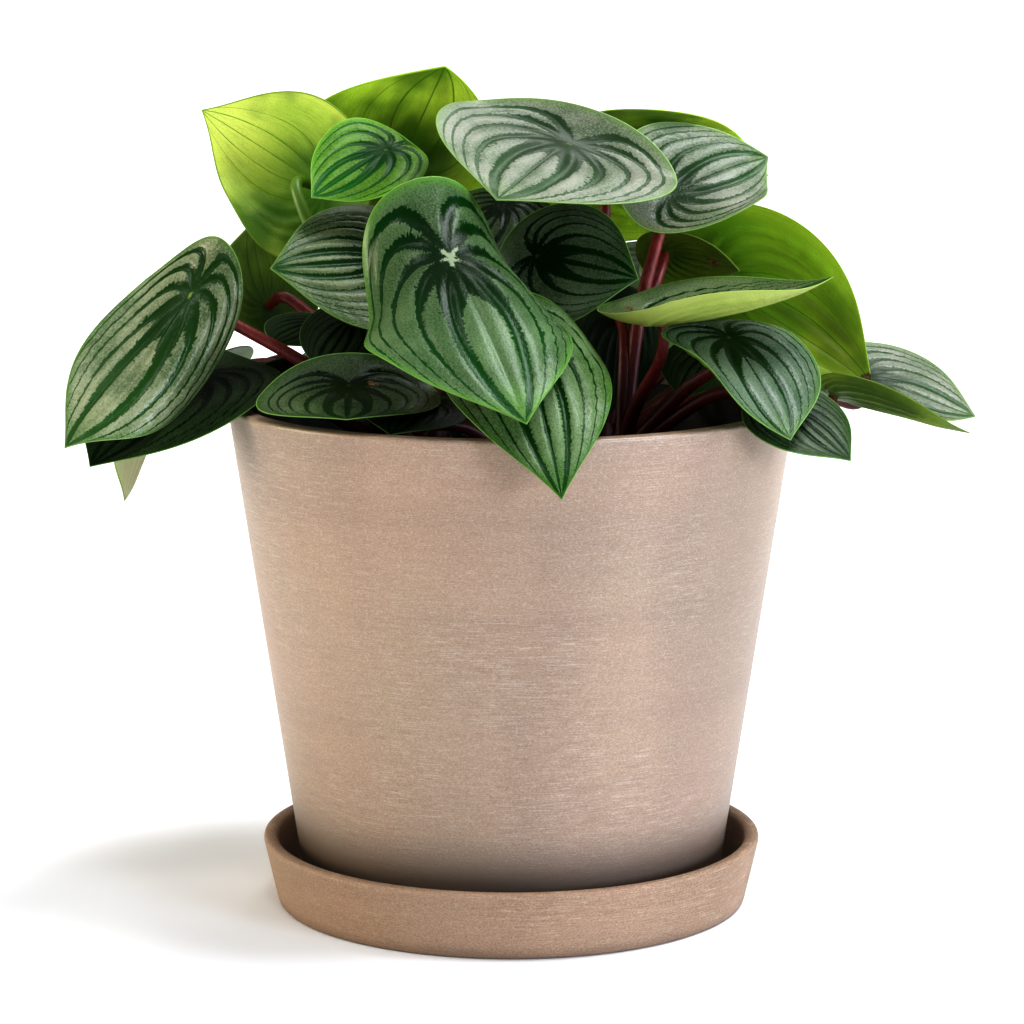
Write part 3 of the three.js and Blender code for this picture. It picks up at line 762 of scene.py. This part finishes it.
def layOut(blade):
    # The length of a blade and its own directions at the seat.
    seat = np.array(blade["seat"], dtype=float)
    chord = np.array(blade["tip"], dtype=float) - seat
    half = math.radians(blade["droop"]) / 2
    length = np.linalg.norm(chord) * (1.0 if half == 0 else half / math.sin(half))
    along = chord / np.linalg.norm(chord)
    face = np.array(blade["face"], dtype=float)
    face = face - along * np.dot(face, along)
    face /= np.linalg.norm(face)
    axis = np.cross(along, face)
    forward = turnAbout(along, axis, half)
    normal = turnAbout(face, axis, half)
    return {"seat": seat, "length": length, "forward": forward, "normal": normal,
            "side": np.cross(normal, forward)}


def bladePoints(blade, axes, u, v):
    # Bends the flat blade: u runs from the seat towards the tip, v to the side.
    length = axes["length"]
    rate = np.where(u >= 0, math.radians(blade["droop"]) / length,
                    math.radians(blade["nod"]) / (baseReach * length * blade["base"]))
    run, drop, turn = arcRun(u, rate)
    blend = smoothStep((u / length + 0.2) / 0.8)
    left, right = (inner + (outer - inner) * blend
                   for inner, outer in zip(blade.get("cupBase", blade["cup"]), blade["cup"]))
    ribRate = np.radians(np.where(v >= 0, left, right)) / (widest * length * blade["width"])
    across, fall, _ = arcRun(np.abs(v), ribRate)
    reach = np.hypot(u, v) / length
    lift = blade["wave"] * reach ** 3 * np.sin(5 * np.arctan2(v, u) + blade["seat"][0]) - fall
    ahead = run + lift * np.sin(turn)
    up = -drop + lift * np.cos(turn)
    aside = np.sign(v) * across
    return (axes["seat"] + ahead[..., None] * axes["forward"] + aside[..., None] * axes["side"]
            + up[..., None] * axes["normal"])


def bandDistance(shareU, shareV, ringShare, spacing):
    # Distances from the nearest band's line and from the midrib, in blade lengths, as the material has them.
    height = np.abs(shareV) * bands["squash"]
    angle = np.arctan2(height, shareU) + np.arctan2(height, 1 - shareU)
    low, high = math.radians(bands["hugFrom"]), math.radians(bands["hugTo"])
    hug = ringShare ** bands["hug"] * smoothStep((angle - low) / (high - low))
    angle = (angle + (math.pi - angle) * hug) / spacing
    spread = np.hypot(shareU, height) * np.hypot(1 - shareU, height) * spacing
    gaps = [np.abs(angle - math.radians(a)) for a in bands["angles"]]
    return spread * np.min(gaps, axis=0), spread * angle


def bladeRelief(blade, number, length, u, v, shareU, shareV, ringShare, rim):
    # Grooves over the bands and the midrib, low swellings between them and a dimple at the seat.
    form = bladeForm
    fromSeat = np.hypot(shareU, shareV)
    nearest, middle = bandDistance(shareU, shareV, ringShare, upperLooks[blade["upper"]]["spacing"])
    edgeFade = np.clip(rim / form["edgeFade"], 0, 1)
    tipFade = np.clip(np.hypot(1 - shareU, shareV) / form["tipFade"], 0, 1)
    seatFade = np.clip(fromSeat / form["seatFade"], 0, 1) ** 2
    groove = hill(nearest, form["grooveWidth"]) + form["ribDepth"] * hill(middle, form["ribWidth"])
    groove = form["groove"] * groove * edgeFade * tipFade * seatFade * length / form["usualLength"]
    alongScale, asideScale = form["swells"]
    swell = np.sin(alongScale * u + number) * np.cos(asideScale * v + 2 * number)
    swell = form["undulation"] * swell * edgeFade
    return swell - groove - form["dimple"] * hill(fromSeat, form["dimpleWidth"])


def bladeFaces(total, count, rings):
    # Upper side, underside and rim of a grid of rings round a middle point, with their materials.
    faces, sides = [], []
    edge = 1 + (rings - 1) * count
    for j in range(count):
        k = (j + 1) % count
        faces += [(0, 1 + j, 1 + k), (total, total + 1 + k, total + 1 + j)]
        for a in range(1, edge, count):
            b = a + count
            faces.append((a + j, b + j, b + k, a + k))
            faces.append((total + a + j, total + a + k, total + b + k, total + b + j))
        faces.append((edge + j, total + edge + j, total + edge + k, edge + k))
        sides += [0, 1] * rings + [1]
    return faces, sides


def giveBoth(mesh, name, kind, field, values):
    # An attribute that is the same on the upper side and the underside.
    attribute = mesh.attributes.new(name, kind, "POINT")
    attribute.data.foreach_set(field, np.concatenate([values, values]).ravel().astype(np.float32))


def bladeMesh(name, blade, number):
    form = bladeForm
    axes = layOut(blade)
    length = axes["length"]
    # The spokes stand closer towards the point.
    half = form["spokes"] // 2
    share = np.arange(-half, half) / half
    turns = math.pi * np.sign(share) * np.abs(share) ** form["spokePower"]
    inner = form["innerRings"] * (np.arange(1, form["rings"] + 1) / form["rings"]) ** form["ringPower"]
    rings = np.concatenate([inner, form["rimRings"]])
    reach = rings[:, None] * outlineRadius(turns)[None, :] * length
    shareU = np.concatenate([[0.0], (reach * np.cos(turns)).ravel()]) / length
    shareV = np.concatenate([[0.0], (reach * np.sin(turns)).ravel()]) / length
    ringShare = np.concatenate([[0.0], np.broadcast_to(rings[:, None], reach.shape).ravel()])
    u = np.where(shareU < 0, shareU * blade["base"], shareU) * length
    v = shareV * length * blade["width"] * (1 + blade["belly"] * shareU)
    rim = (1 - ringShare) * outlineRadius(np.arctan2(shareV, shareU)) * length

    step = 0.5
    points = bladePoints(blade, axes, u, v)
    du = bladePoints(blade, axes, u + step, v) - bladePoints(blade, axes, u - step, v)
    dv = bladePoints(blade, axes, u, v + step) - bladePoints(blade, axes, u, v - step)
    normals = np.cross(du, dv)
    normals /= np.linalg.norm(normals, axis=1)[:, None]
    relief = bladeRelief(blade, number, length, u, v, shareU, shareV, ringShare, rim)
    upper = points + normals * relief[:, None]
    thin, thick = form["rimThickness"], form["thickness"]
    thickness = thin + (thick - thin) * np.sqrt(1 - ringShare ** 6)
    thickness += (form["seatThickness"] - thick) * hill(np.hypot(shareU, shareV), form["seatWidth"])
    lower = upper - normals * thickness[:, None]

    total = len(u)
    faces, sides = bladeFaces(total, len(turns), len(rings))
    mesh = meshOf(name, metres(np.concatenate([upper, lower])), [], faces)
    mesh.polygons.foreach_set("material_index", sides)
    mesh.polygons.foreach_set("use_smooth", [True] * len(faces))
    # The blade's own coordinates, for its materials.
    markU, markV, markSize = blade["mark"]
    vectors = {
        "bladeFlat": (shareU, shareV, rim),
        "bladeGrain": (u, v, np.full(total, form["grainShift"] * number)),
        "bladeMark": ((shareU - markU) * length, (shareV - markV) * length, np.full(total, markSize)),
    }
    for key, values in vectors.items():
        giveBoth(mesh, key, "FLOAT_VECTOR", "vector", np.stack(values, axis=1))
    giveBoth(mesh, "bladeShare", "FLOAT", "value", ringShare)
    mesh.update()
    return mesh


def bandGroup():
    # Reads a blade's own flat coordinates and gives how far a point is from the nearest band's line.
    tree = bpy.data.node_groups.new("bladeBands", "ShaderNodeTree")
    tree.interface.new_socket("Spacing", in_out="INPUT", socket_type="NodeSocketFloat").default_value = 1.0
    spacing = addNode(tree, "NodeGroupInput").outputs["Spacing"]
    flat = split(attributeOf(tree, "bladeFlat"))
    u, v = flat["X"], flat["Y"]
    height = times(calc("ABSOLUTE", v), bands["squash"])
    rest = minus(1.0, u)
    angle = plus(calc("ARCTAN2", height, u), calc("ARCTAN2", height, rest))
    hug = times(calc("POWER", attributeOf(tree, "bladeShare", "Fac"), bands["hug"]),
                soften(angle, math.radians(bands["hugFrom"]), math.radians(bands["hugTo"])))
    angle = calc("DIVIDE", plus(angle, times(minus(math.pi, angle), hug)), spacing)
    square = times(height, height)
    fromSeat = calc("SQRT", plus(times(u, u), square))
    fromTip = calc("SQRT", plus(times(rest, rest), square))
    nearest, *others = (calc("ABSOLUTE", minus(angle, math.radians(degrees))) for degrees in bands["angles"])
    for gap in others:
        nearest = calc("MINIMUM", nearest, gap)
    spread = times(fromSeat, fromTip, spacing)
    readings = {
        "Distance": times(spread, nearest), "Middle": times(spread, angle), "From Seat": fromSeat,
        "From Tip": fromTip, "Rim": flat["Z"], "Angle": angle, "Turn": calc("ARCTAN2", v, u),
        "Along": calc("LOGARITHM", calc("DIVIDE", plus(fromSeat, 0.01), plus(fromTip, 0.01)), math.e),
    }
    for name in readings:
        tree.interface.new_socket(name, in_out="OUTPUT", socket_type="NodeSocketFloat")
    addNode(tree, "NodeGroupOutput", readings)
    return tree


bladeBands = bandGroup()


def readBands(tree, spacing):
    return addNode(tree, "ShaderNodeGroup", {"Spacing": spacing}, node_tree=bladeBands).outputs


def brownMark(body, grainPlace):
    # A dry brown mark where a blade has one.
    parts = split(attributeOf(body.id_data, "bladeMark"))
    x, y, size = parts["X"], parts["Y"], parts["Z"]
    away = plus(calc("SQRT", plus(times(x, x), times(y, y))), sway(noise(grainPlace, 0.5), 4.0))
    inside = times(soften(minus(size, away), -0.4, 0.6), calc("GREATER_THAN", size, 0.1))
    core = mixColour(soften(noise(grainPlace, 1.2), 0.35, 0.65), (0.06, 0.035, 0.012), (0.24, 0.16, 0.07))
    return mixColour(inside, body, core)


# The looks of the blades' upper sides: the colours, how far apart (spacing) and wide the bands are, how wide
# the one on the midrib is (middle), how far they flow together at the seat (heart), how clear the pale spot
# is, and how strong its rays are where it has them (star).
upperLooks = {
    "grown": dict(silver=(0.11, 0.16, 0.07), pale=(0.18, 0.23, 0.11), tip=(0.081, 0.16, 0.034),
        band=(0.0028, 0.02, 0.0021), far=(0.0072, 0.061, 0.0045), edge=(0.21, 0.34, 0.092), spacing=0.8,
        width=0.95, middle=1.0, heart=0.35, spot=0.2, roughness=0.17, gloss=0.17),
    "silver": dict(silver=(0.125, 0.165, 0.08), pale=(0.26, 0.29, 0.17), tip=(0.085, 0.17, 0.04),
        band=(0.011, 0.042, 0.004), far=(0.018, 0.075, 0.008), edge=(0.29, 0.41, 0.15), spacing=1.0,
        width=1.3, middle=0.0, heart=0.95, spot=0.6, roughness=0.17, gloss=0.24),
    # Painted sheen: paler colours and lighter bands stand in for the gloss on the top leaves.
    "sheen": dict(silver=(0.15, 0.19, 0.115), pale=(0.26, 0.275, 0.205), tip=(0.15, 0.23, 0.081),
        band=(0.018, 0.042, 0.014), far=(0.028, 0.082, 0.02), edge=(0.32, 0.44, 0.18), spacing=0.95,
        width=1.25, middle=0.3, heart=0.5, spot=0.2, roughness=0.2, gloss=0.22),
    "starred": dict(silver=(0.075, 0.13, 0.052), pale=(0.12, 0.19, 0.084), tip=(0.11, 0.24, 0.04),
        band=(0.0021, 0.018, 0.0021), far=(0.0036, 0.061, 0.0036), edge=(0.19, 0.33, 0.088), spacing=1.0,
        width=1.02, middle=0.0, heart=1.0, star=1.0, spot=1.0, roughness=0.13, gloss=0.18),
    "green": dict(silver=(0.079, 0.14, 0.043), pale=(0.15, 0.22, 0.099), tip=(0.057, 0.15, 0.021),
        band=(0.0028, 0.025, 0.0021), far=(0.0036, 0.047, 0.0027), edge=(0.18, 0.3, 0.073), spacing=1.1,
        width=1.1, middle=0.5, heart=0.6, spot=0.2, roughness=0.18, gloss=0.16),
    # A painted shaded copy, darker, for blades that sit in half shade inside the plant.
    "deep": dict(silver=(0.048, 0.077, 0.035), pale=(0.081, 0.12, 0.058), tip=(0.034, 0.086, 0.016),
        band=(0.0014, 0.009, 0.0014), far=(0.0027, 0.027, 0.0027), edge=(0.17, 0.31, 0.081), spacing=0.9,
        width=1.05, middle=0.7, heart=0.6, spot=0.1, roughness=0.2, gloss=0.14),
    "shade": dict(silver=(0.016, 0.031, 0.0099), pale=(0.026, 0.049, 0.015), tip=(0.014, 0.037, 0.0069),
        band=(0.0014, 0.006, 0.0007), far=(0.0018, 0.014, 0.0018), edge=(0.081, 0.17, 0.034), spacing=0.9,
        width=0.9, middle=0.8, heart=0.5, spot=0.05, roughness=0.29, gloss=0.05),
    "young": dict(silver=(0.095, 0.2, 0.02), pale=(0.14, 0.28, 0.041), tip=(0.13, 0.31, 0.029),
        band=(0.0042, 0.05, 0.0035), far=(0.009, 0.11, 0.0063), edge=(0.28, 0.48, 0.092), spacing=1.1,
        width=1.35, middle=0.8, heart=0.7, spot=0.3, roughness=0.23, gloss=0.12),
    "glossy": dict(silver=(0.079, 0.13, 0.071), pale=(0.15, 0.2, 0.13), tip=(0.092, 0.18, 0.041),
        band=(0.0021, 0.02, 0.0028), far=(0.0045, 0.047, 0.0045), edge=(0.25, 0.4, 0.15), spacing=1.0,
        width=0.85, middle=0.25, heart=0.7, spot=0.15, roughness=0.14, gloss=0.22),
}
# The undersides of back_left_high, back_top_left, back_right_high and right_large glow with painted light
# that shines through them from behind, and right_level's is painted as lit from the front.
underLooks = {
    "bright": dict(body=(0.44, 0.6, 0.085), tip=(0.7, 0.78, 0.17), shade=(0.05, 0.17, 0.007),
        vein=(0.09, 0.26, 0.01), edge=(0.2, 0.32, 0.03), patch=0.85, roughness=0.38),
    "backlit": dict(body=(0.42, 0.65, 0.035), tip=(0.66, 0.85, 0.08), shade=(0.05, 0.16, 0.006),
        vein=(0.06, 0.2, 0.007), edge=(0.4, 0.6, 0.05), patch=0.8, roughness=0.38),
    "lit": dict(body=(0.38, 0.44, 0.12), tip=(0.42, 0.46, 0.15), shade=(0.28, 0.35, 0.074),
        vein=(0.24, 0.31, 0.062), edge=(0.33, 0.4, 0.11), patch=0.4, roughness=0.5),
    "pale": dict(body=(0.61, 0.67, 0.42), tip=(0.7, 0.74, 0.49), shade=(0.3, 0.42, 0.14),
        vein=(0.22, 0.33, 0.1), edge=(0.36, 0.48, 0.18), patch=0.4, roughness=0.45),
    "leafy": dict(body=(0.3, 0.52, 0.03), tip=(0.5, 0.7, 0.06), shade=(0.08, 0.24, 0.01),
        vein=(0.08, 0.26, 0.008), edge=(0.3, 0.45, 0.04), patch=0.5, roughness=0.38),
    "olive": dict(body=(0.12, 0.2, 0.015), tip=(0.18, 0.27, 0.025), shade=(0.03, 0.075, 0.006),
        vein=(0.02, 0.045, 0.004), edge=(0.15, 0.22, 0.03), patch=0.7, roughness=0.4),
    # A painted shaded copy, nearly black, for undersides in deep shade.
    "dim": dict(body=(0.015, 0.036, 0.005), tip=(0.02, 0.05, 0.007), shade=(0.006, 0.018, 0.003),
        vein=(0.005, 0.014, 0.002), edge=(0.03, 0.07, 0.012), patch=0.6, roughness=0.5),
    "plain": dict(body=(0.12, 0.21, 0.04), tip=(0.17, 0.28, 0.06), shade=(0.06, 0.13, 0.02),
        vein=(0.04, 0.09, 0.014), edge=(0.16, 0.27, 0.06), patch=0.5, roughness=0.42),
}


def fan(at, low, high, toLow=0.0, toHigh=1.0):
    # From one angle of the bands to another.
    return soften(at["Angle"], math.radians(low), math.radians(high), toLow, toHigh)


def torn(at, number, scales):
    # Noise that is short along a band and longer across it.
    along, around = scales
    return noise(combine(times(at["Along"], along), times(at["Angle"], around), number), 1.0, 2.0, 0.6)


def upperBands(look, at, grainPlace, ragged):
    # The bands are broad along the middle of the blade, thin beside its base, and meet around the seat.
    number = split(grainPlace)["Z"]
    teeth = minus(sway(torn(at, number, bands["toothScale"]), bands["teeth"]),
                  soften(torn(at, number, bands["spikeScale"]), 0.6, 0.78, 0.0, bands["spikes"]))
    teeth = times(plus(teeth, sway(ragged, bands["fringe"])), soften(at["From Tip"], 0.0, 0.4, 0.3, 1.0))
    outward = fan(at, *bands["fan"])
    taper = calc("POWER", calc("MAXIMUM", at["From Tip"], 0.02), soften(outward, 0.0, 1.0, 0.4, 1.0))
    half = times(soften(outward, 0.0, 0.8, *bands["widths"]), taper, look["width"],
                 soften(noise(grainPlace, 0.1), 0.25, 0.75, 0.8, 1.2))
    heart = times(soften(at["From Seat"], bands["heartReach"], 0.0, 0.0, bands["heart"]),
                  fan(at, 60, 34, 0.3), fan(at, 105, 60, 0.12), look["heart"])
    band = soften(minus(plus(at["Distance"], teeth), plus(half, heart)), bands["blur"], -bands["blur"])
    if look["middle"] > 0:
        rib = minus(plus(at["Middle"], times(teeth, 0.6)), times(half, look["middle"]))
        band = calc("MAXIMUM", band, soften(rib, bands["ribBlur"], -bands["ribBlur"]))
    return band


def paleSpot(look, body, at, ragged):
    form = seatSpot
    size, tone = form["size"] + form["growth"] * look["spot"], form["plain"]
    if "star" in look:
        rays = calc("ABSOLUTE", calc("COSINE", plus(times(at["Turn"], 2.5), 0.5)))
        uneven = noise(combine(calc("SINE", at["Turn"]), calc("COSINE", at["Turn"]), 3.7), 1.5)
        rays = times(calc("POWER", rays, form["raySharpness"]), soften(uneven, 0.3, 0.7, *form["rays"]))
        size, tone = plus(times(rays, look["star"]), size), form["rayed"]
    size = times(size, soften(ragged, 0.3, 0.7, 0.5, 1.3))
    inside = soften(minus(at["From Seat"], size), form["blur"], -form["blur"], 0.0, look["spot"])
    return mixColour(inside, body, tone)


def upperMaterial(name, look):
    material, tree = newMaterial(name)
    at = readBands(tree, look["spacing"])
    grainPlace = attributeOf(tree, "bladeGrain")
    ragged = noise(grainPlace, 0.9, 3.0, 0.7)
    speckle = noise(grainPlace, 1.7, 3.0, 0.7)
    band = upperBands(look, at, grainPlace, ragged)
    silver = coats(
        look["silver"],
        (soften(noise(grainPlace, 0.07), 0.38, 0.64), look["pale"]),
        # Darker towards the seat: painted shade.
        (soften(at["From Seat"], 0.6, 0.1, 0.0, 0.45), look["band"]),
        (soften(at["From Tip"], 0.3, 0.05, 0.0, 0.8), look["tip"]),
        (soften(at["Rim"], 3.5, 1.0, 0.0, 0.5), look["tip"]),
        (soften(speckle, 0.48, 0.66, 0.0, 0.6), look["pale"]),
        (soften(speckle, 0.52, 0.34, 0.0, 0.4), look["band"]),
    )
    dark = coats(look["band"], (soften(at["From Seat"], 0.1, 0.75), look["far"]),
                 (soften(speckle, 0.5, 0.75, 0.0, 0.25), look["far"]))
    # The green margin and its thin light edge.
    margin = soften(plus(at["Rim"], sway(ragged, 1.6)), 1.3, 0.5, 0.0, 0.7)
    body = coats(silver, (band, dark), (margin, look["tip"]), (soften(at["Rim"], 0.35, 0.1), look["edge"]))
    body = brownMark(paleSpot(look, body, at, ragged), grainPlace)
    height = plus(noise(grainPlace, 1.6, 3.0, 0.6), times(band, -0.5))
    roughness = plus(times(speckle, 0.16), look["roughness"] - 0.08)
    return dress(material, body, roughness, look["gloss"], height, 0.0001)


def underMaterial(name, look):
    material, tree = newMaterial(name)
    at = readBands(tree, bands["underSpacing"])
    grainPlace = attributeOf(tree, "bladeGrain")
    speckle = noise(grainPlace, 2.2, 2.0, 0.6)
    fibres = noise(combine(times(at["Along"], 1.5), times(at["Angle"], 14.0), 0.0), 1.0)
    line = plus(calc("MINIMUM", at["Distance"], at["Middle"]), sway(noise(grainPlace, 0.25), 0.006))
    vein = times(soften(line, 0.006, 0.0015), fan(at, 120, 60))
    body = coats(
        look["body"],
        (soften(at["From Tip"], 0.75, 0.15), look["tip"]),
        (soften(at["Rim"], 6.0, 1.0, 0.0, 0.5), look["tip"]),
        # The soft patches and the darkening towards the seat are painted shadow of the leaves around.
        (soften(noise(grainPlace, 0.05, 2.0, 0.45), 0.42, 0.66, 0.0, look["patch"]), look["shade"]),
        (soften(at["From Seat"], 0.6, 0.1, 0.0, 0.7), look["shade"]),
        (soften(fibres, 0.5, 0.72, 0.0, 0.2), look["shade"]),
        (soften(speckle, 0.48, 0.75, 0.0, 0.22), look["shade"]),
        (times(vein, 0.75), look["vein"]),
        (soften(at["Rim"], 0.6, 0.25), look["edge"]),
    )
    height = plus(noise(grainPlace, 1.6, 2.0, 0.6), times(vein, 0.5))
    roughness = plus(times(speckle, 0.15), look["roughness"] - 0.07)
    return dress(material, brownMark(body, grainPlace), roughness, 0.18, height, 0.00014)


def camel(name):
    first, *others = name.split("_")
    return first + "".join(word.capitalize() for word in others)


def makeBlades():
    uppers = {key: upperMaterial("bladeUpper_" + key, look) for key, look in upperLooks.items()}
    unders = {key: underMaterial("bladeUnder_" + key, look) for key, look in underLooks.items()}
    for number, (name, blade) in enumerate(blades.items(), start=1):
        title = "blade_" + camel(name)
        makePiece(title, bladeMesh(title, blade, number), "leaf", "leaf_" + name, uppers[blade["upper"]],
                  unders[blade["under"]])


makeBlades()
print("blades made:", len(blades))


def catmullRom(points, count):
    # The same centripetal curve that the solids' petioles follow.
    points = [np.array(p, dtype=float) for p in points]
    points = [2 * points[0] - points[1]] + points + [2 * points[-1] - points[-2]]
    curve = []
    spans = len(points) - 3
    for i in range(count + 1):
        place = spans * i / count
        span = min(int(place), spans - 1)
        t = place - span
        a, b, c, d = points[span:span + 4]
        before, gap, after = (max(np.linalg.norm(q - p) ** 0.5, 1e-4) for p, q in ((a, b), (b, c), (c, d)))
        outB = ((b - a) / before - (c - a) / (before + gap) + (c - b) / gap) * gap
        outC = ((c - b) / gap - (d - b) / (gap + after) + (d - c) / after) * gap
        curve.append(b + outB * t + (-3 * b + 3 * c - 2 * outB - outC) * t ** 2
                     + (2 * b - 2 * c + outB + outC) * t ** 3)
    return np.array(curve)


def bezier(a, b, c, d, count):
    t = np.linspace(0, 1, count + 1)[:, None]
    return (1 - t) ** 3 * a + 3 * t * (1 - t) ** 2 * b + 3 * t ** 2 * (1 - t) * c + t ** 3 * d


def petiolePath(blade):
    form = petioleForm
    axes = layOut(blade)
    x, y = stems[blade["stem"]]
    root = np.array([x, y, form["rootHeight"]], dtype=float)
    end = axes["seat"] - axes["normal"] * (bladeForm["cadThickness"] + bladeForm["petioleGap"])
    below = end - axes["normal"] * blade.get("reach", form["reach"])
    if "via" in blade:
        path = catmullRom([root, blade["via"], below, end], form["points"])
    else:
        above = root + (end - root) * (form["lean"], form["lean"], form["rise"])
        path = bezier(root, above, below, end, form["points"])
    # The visible petiole goes on into the underside of the thinner blade.
    return np.vstack([path, end + axes["normal"] * form["intoBlade"]])


def stemRuns(name):
    # The stem and its petioles, each as a path and its radii.
    x, y = stems[name]
    form = stemForm
    heights = np.linspace(form["foot"], form["top"], form["rings"])
    shares = (heights - heights[0]) / (heights[-1] - heights[0])
    radii = form["radius"] + (form["tipRadius"] - form["radius"]) * shares
    radii[-1] *= form["endShare"]
    runs = [(np.array([(x, y, z) for z in heights]), radii)]
    form = petioleForm
    for blade in (b for b in blades.values() if b["stem"] == name):
        path = petiolePath(blade)
        shares = np.linspace(0, 1, len(path))
        radii = form["rootRadius"] + (form["endRadius"] - form["rootRadius"]) * shares
        runs.append((path, radii + form["flare"] * hill(shares, form["flareReach"])))
    return runs


def tubeTree():
    tree, given = newTree("growPetioles", [("Paths", "Geometry", None), ("Sides", "Int", 16),
                                           ("Thickness", "Float", 1.0), ("Skin", "Material", None)],
                          "Petioles")
    thick = times(result(tree, "GeometryNodeInputRadius"), given["Thickness"])
    ends = {"Curve": given["Paths"], "Profile Curve": circle(tree, given["Sides"], 1.0), "Scale": thick,
            "Fill Caps": True}
    addNode(tree, "NodeGroupOutput", {"Petioles": swept(tree, ends, given["Skin"])})
    return tree


def petioleMaterial():
    form = petioleForm
    material, tree = newMaterial("redPetiole")
    place = objectPlace(tree)
    streaks = noise(place, (900.0, 900.0, 110.0), 3.0, 0.6)
    # Painted shade darkens the petioles down among the stems, and one petiole turns dark green where it meets
    # its light leaf, to blend with the painted shade near that leaf's seat.
    shadeTop, shadeEnd = metres(form["darkBelow"])
    ends = {0: place, 1: metres(form["greenAt"])}
    away = addNode(tree, "ShaderNodeVectorMath", ends, operation="DISTANCE").outputs["Value"]
    reach = form["greenReach"] * millimetre
    body = coats(
        (0.17, 0.018, 0.015),
        (soften(noise(place, 60.0), 0.35, 0.7), (0.28, 0.036, 0.027)),
        (soften(streaks, 0.5, 0.75, 0.0, 0.4), (0.36, 0.09, 0.06)),
        (soften(streaks, 0.5, 0.3, 0.0, 0.5), (0.05, 0.005, 0.005)),
        (soften(split(place)["Z"], shadeTop, shadeEnd, 0.0, 0.65), (0.03, 0.004, 0.003)),
        (soften(away, reach, reach * 0.6), (0.1, 0.2, 0.012)),
    )
    return dress(material, body, 0.42, height=streaks, relief=0.00012)


def makeStems():
    tree = tubeTree()
    skin = petioleMaterial()
    for name in stems:
        data = bpy.data.curves.new("stemPaths", "CURVE")
        data.dimensions = "3D"
        for path, radii in stemRuns(name):
            spline = data.splines.new("POLY")
            spline.points.add(len(path) - 1)
            spline.points.foreach_set("co", np.hstack([path * millimetre, np.ones((len(path), 1))]).ravel())
            spline.points.foreach_set("radius", radii * millimetre)
        values = {"Sides": petioleForm["sides"], "Thickness": 1.0, "Skin": skin}
        mesh = runTree(sceneObject("stemPaths", data), tree, values)
        makePiece("petioles_" + camel(name), mesh, "petiole", "stem_" + name)


makeStems()
print("stems grown:", len(stems))
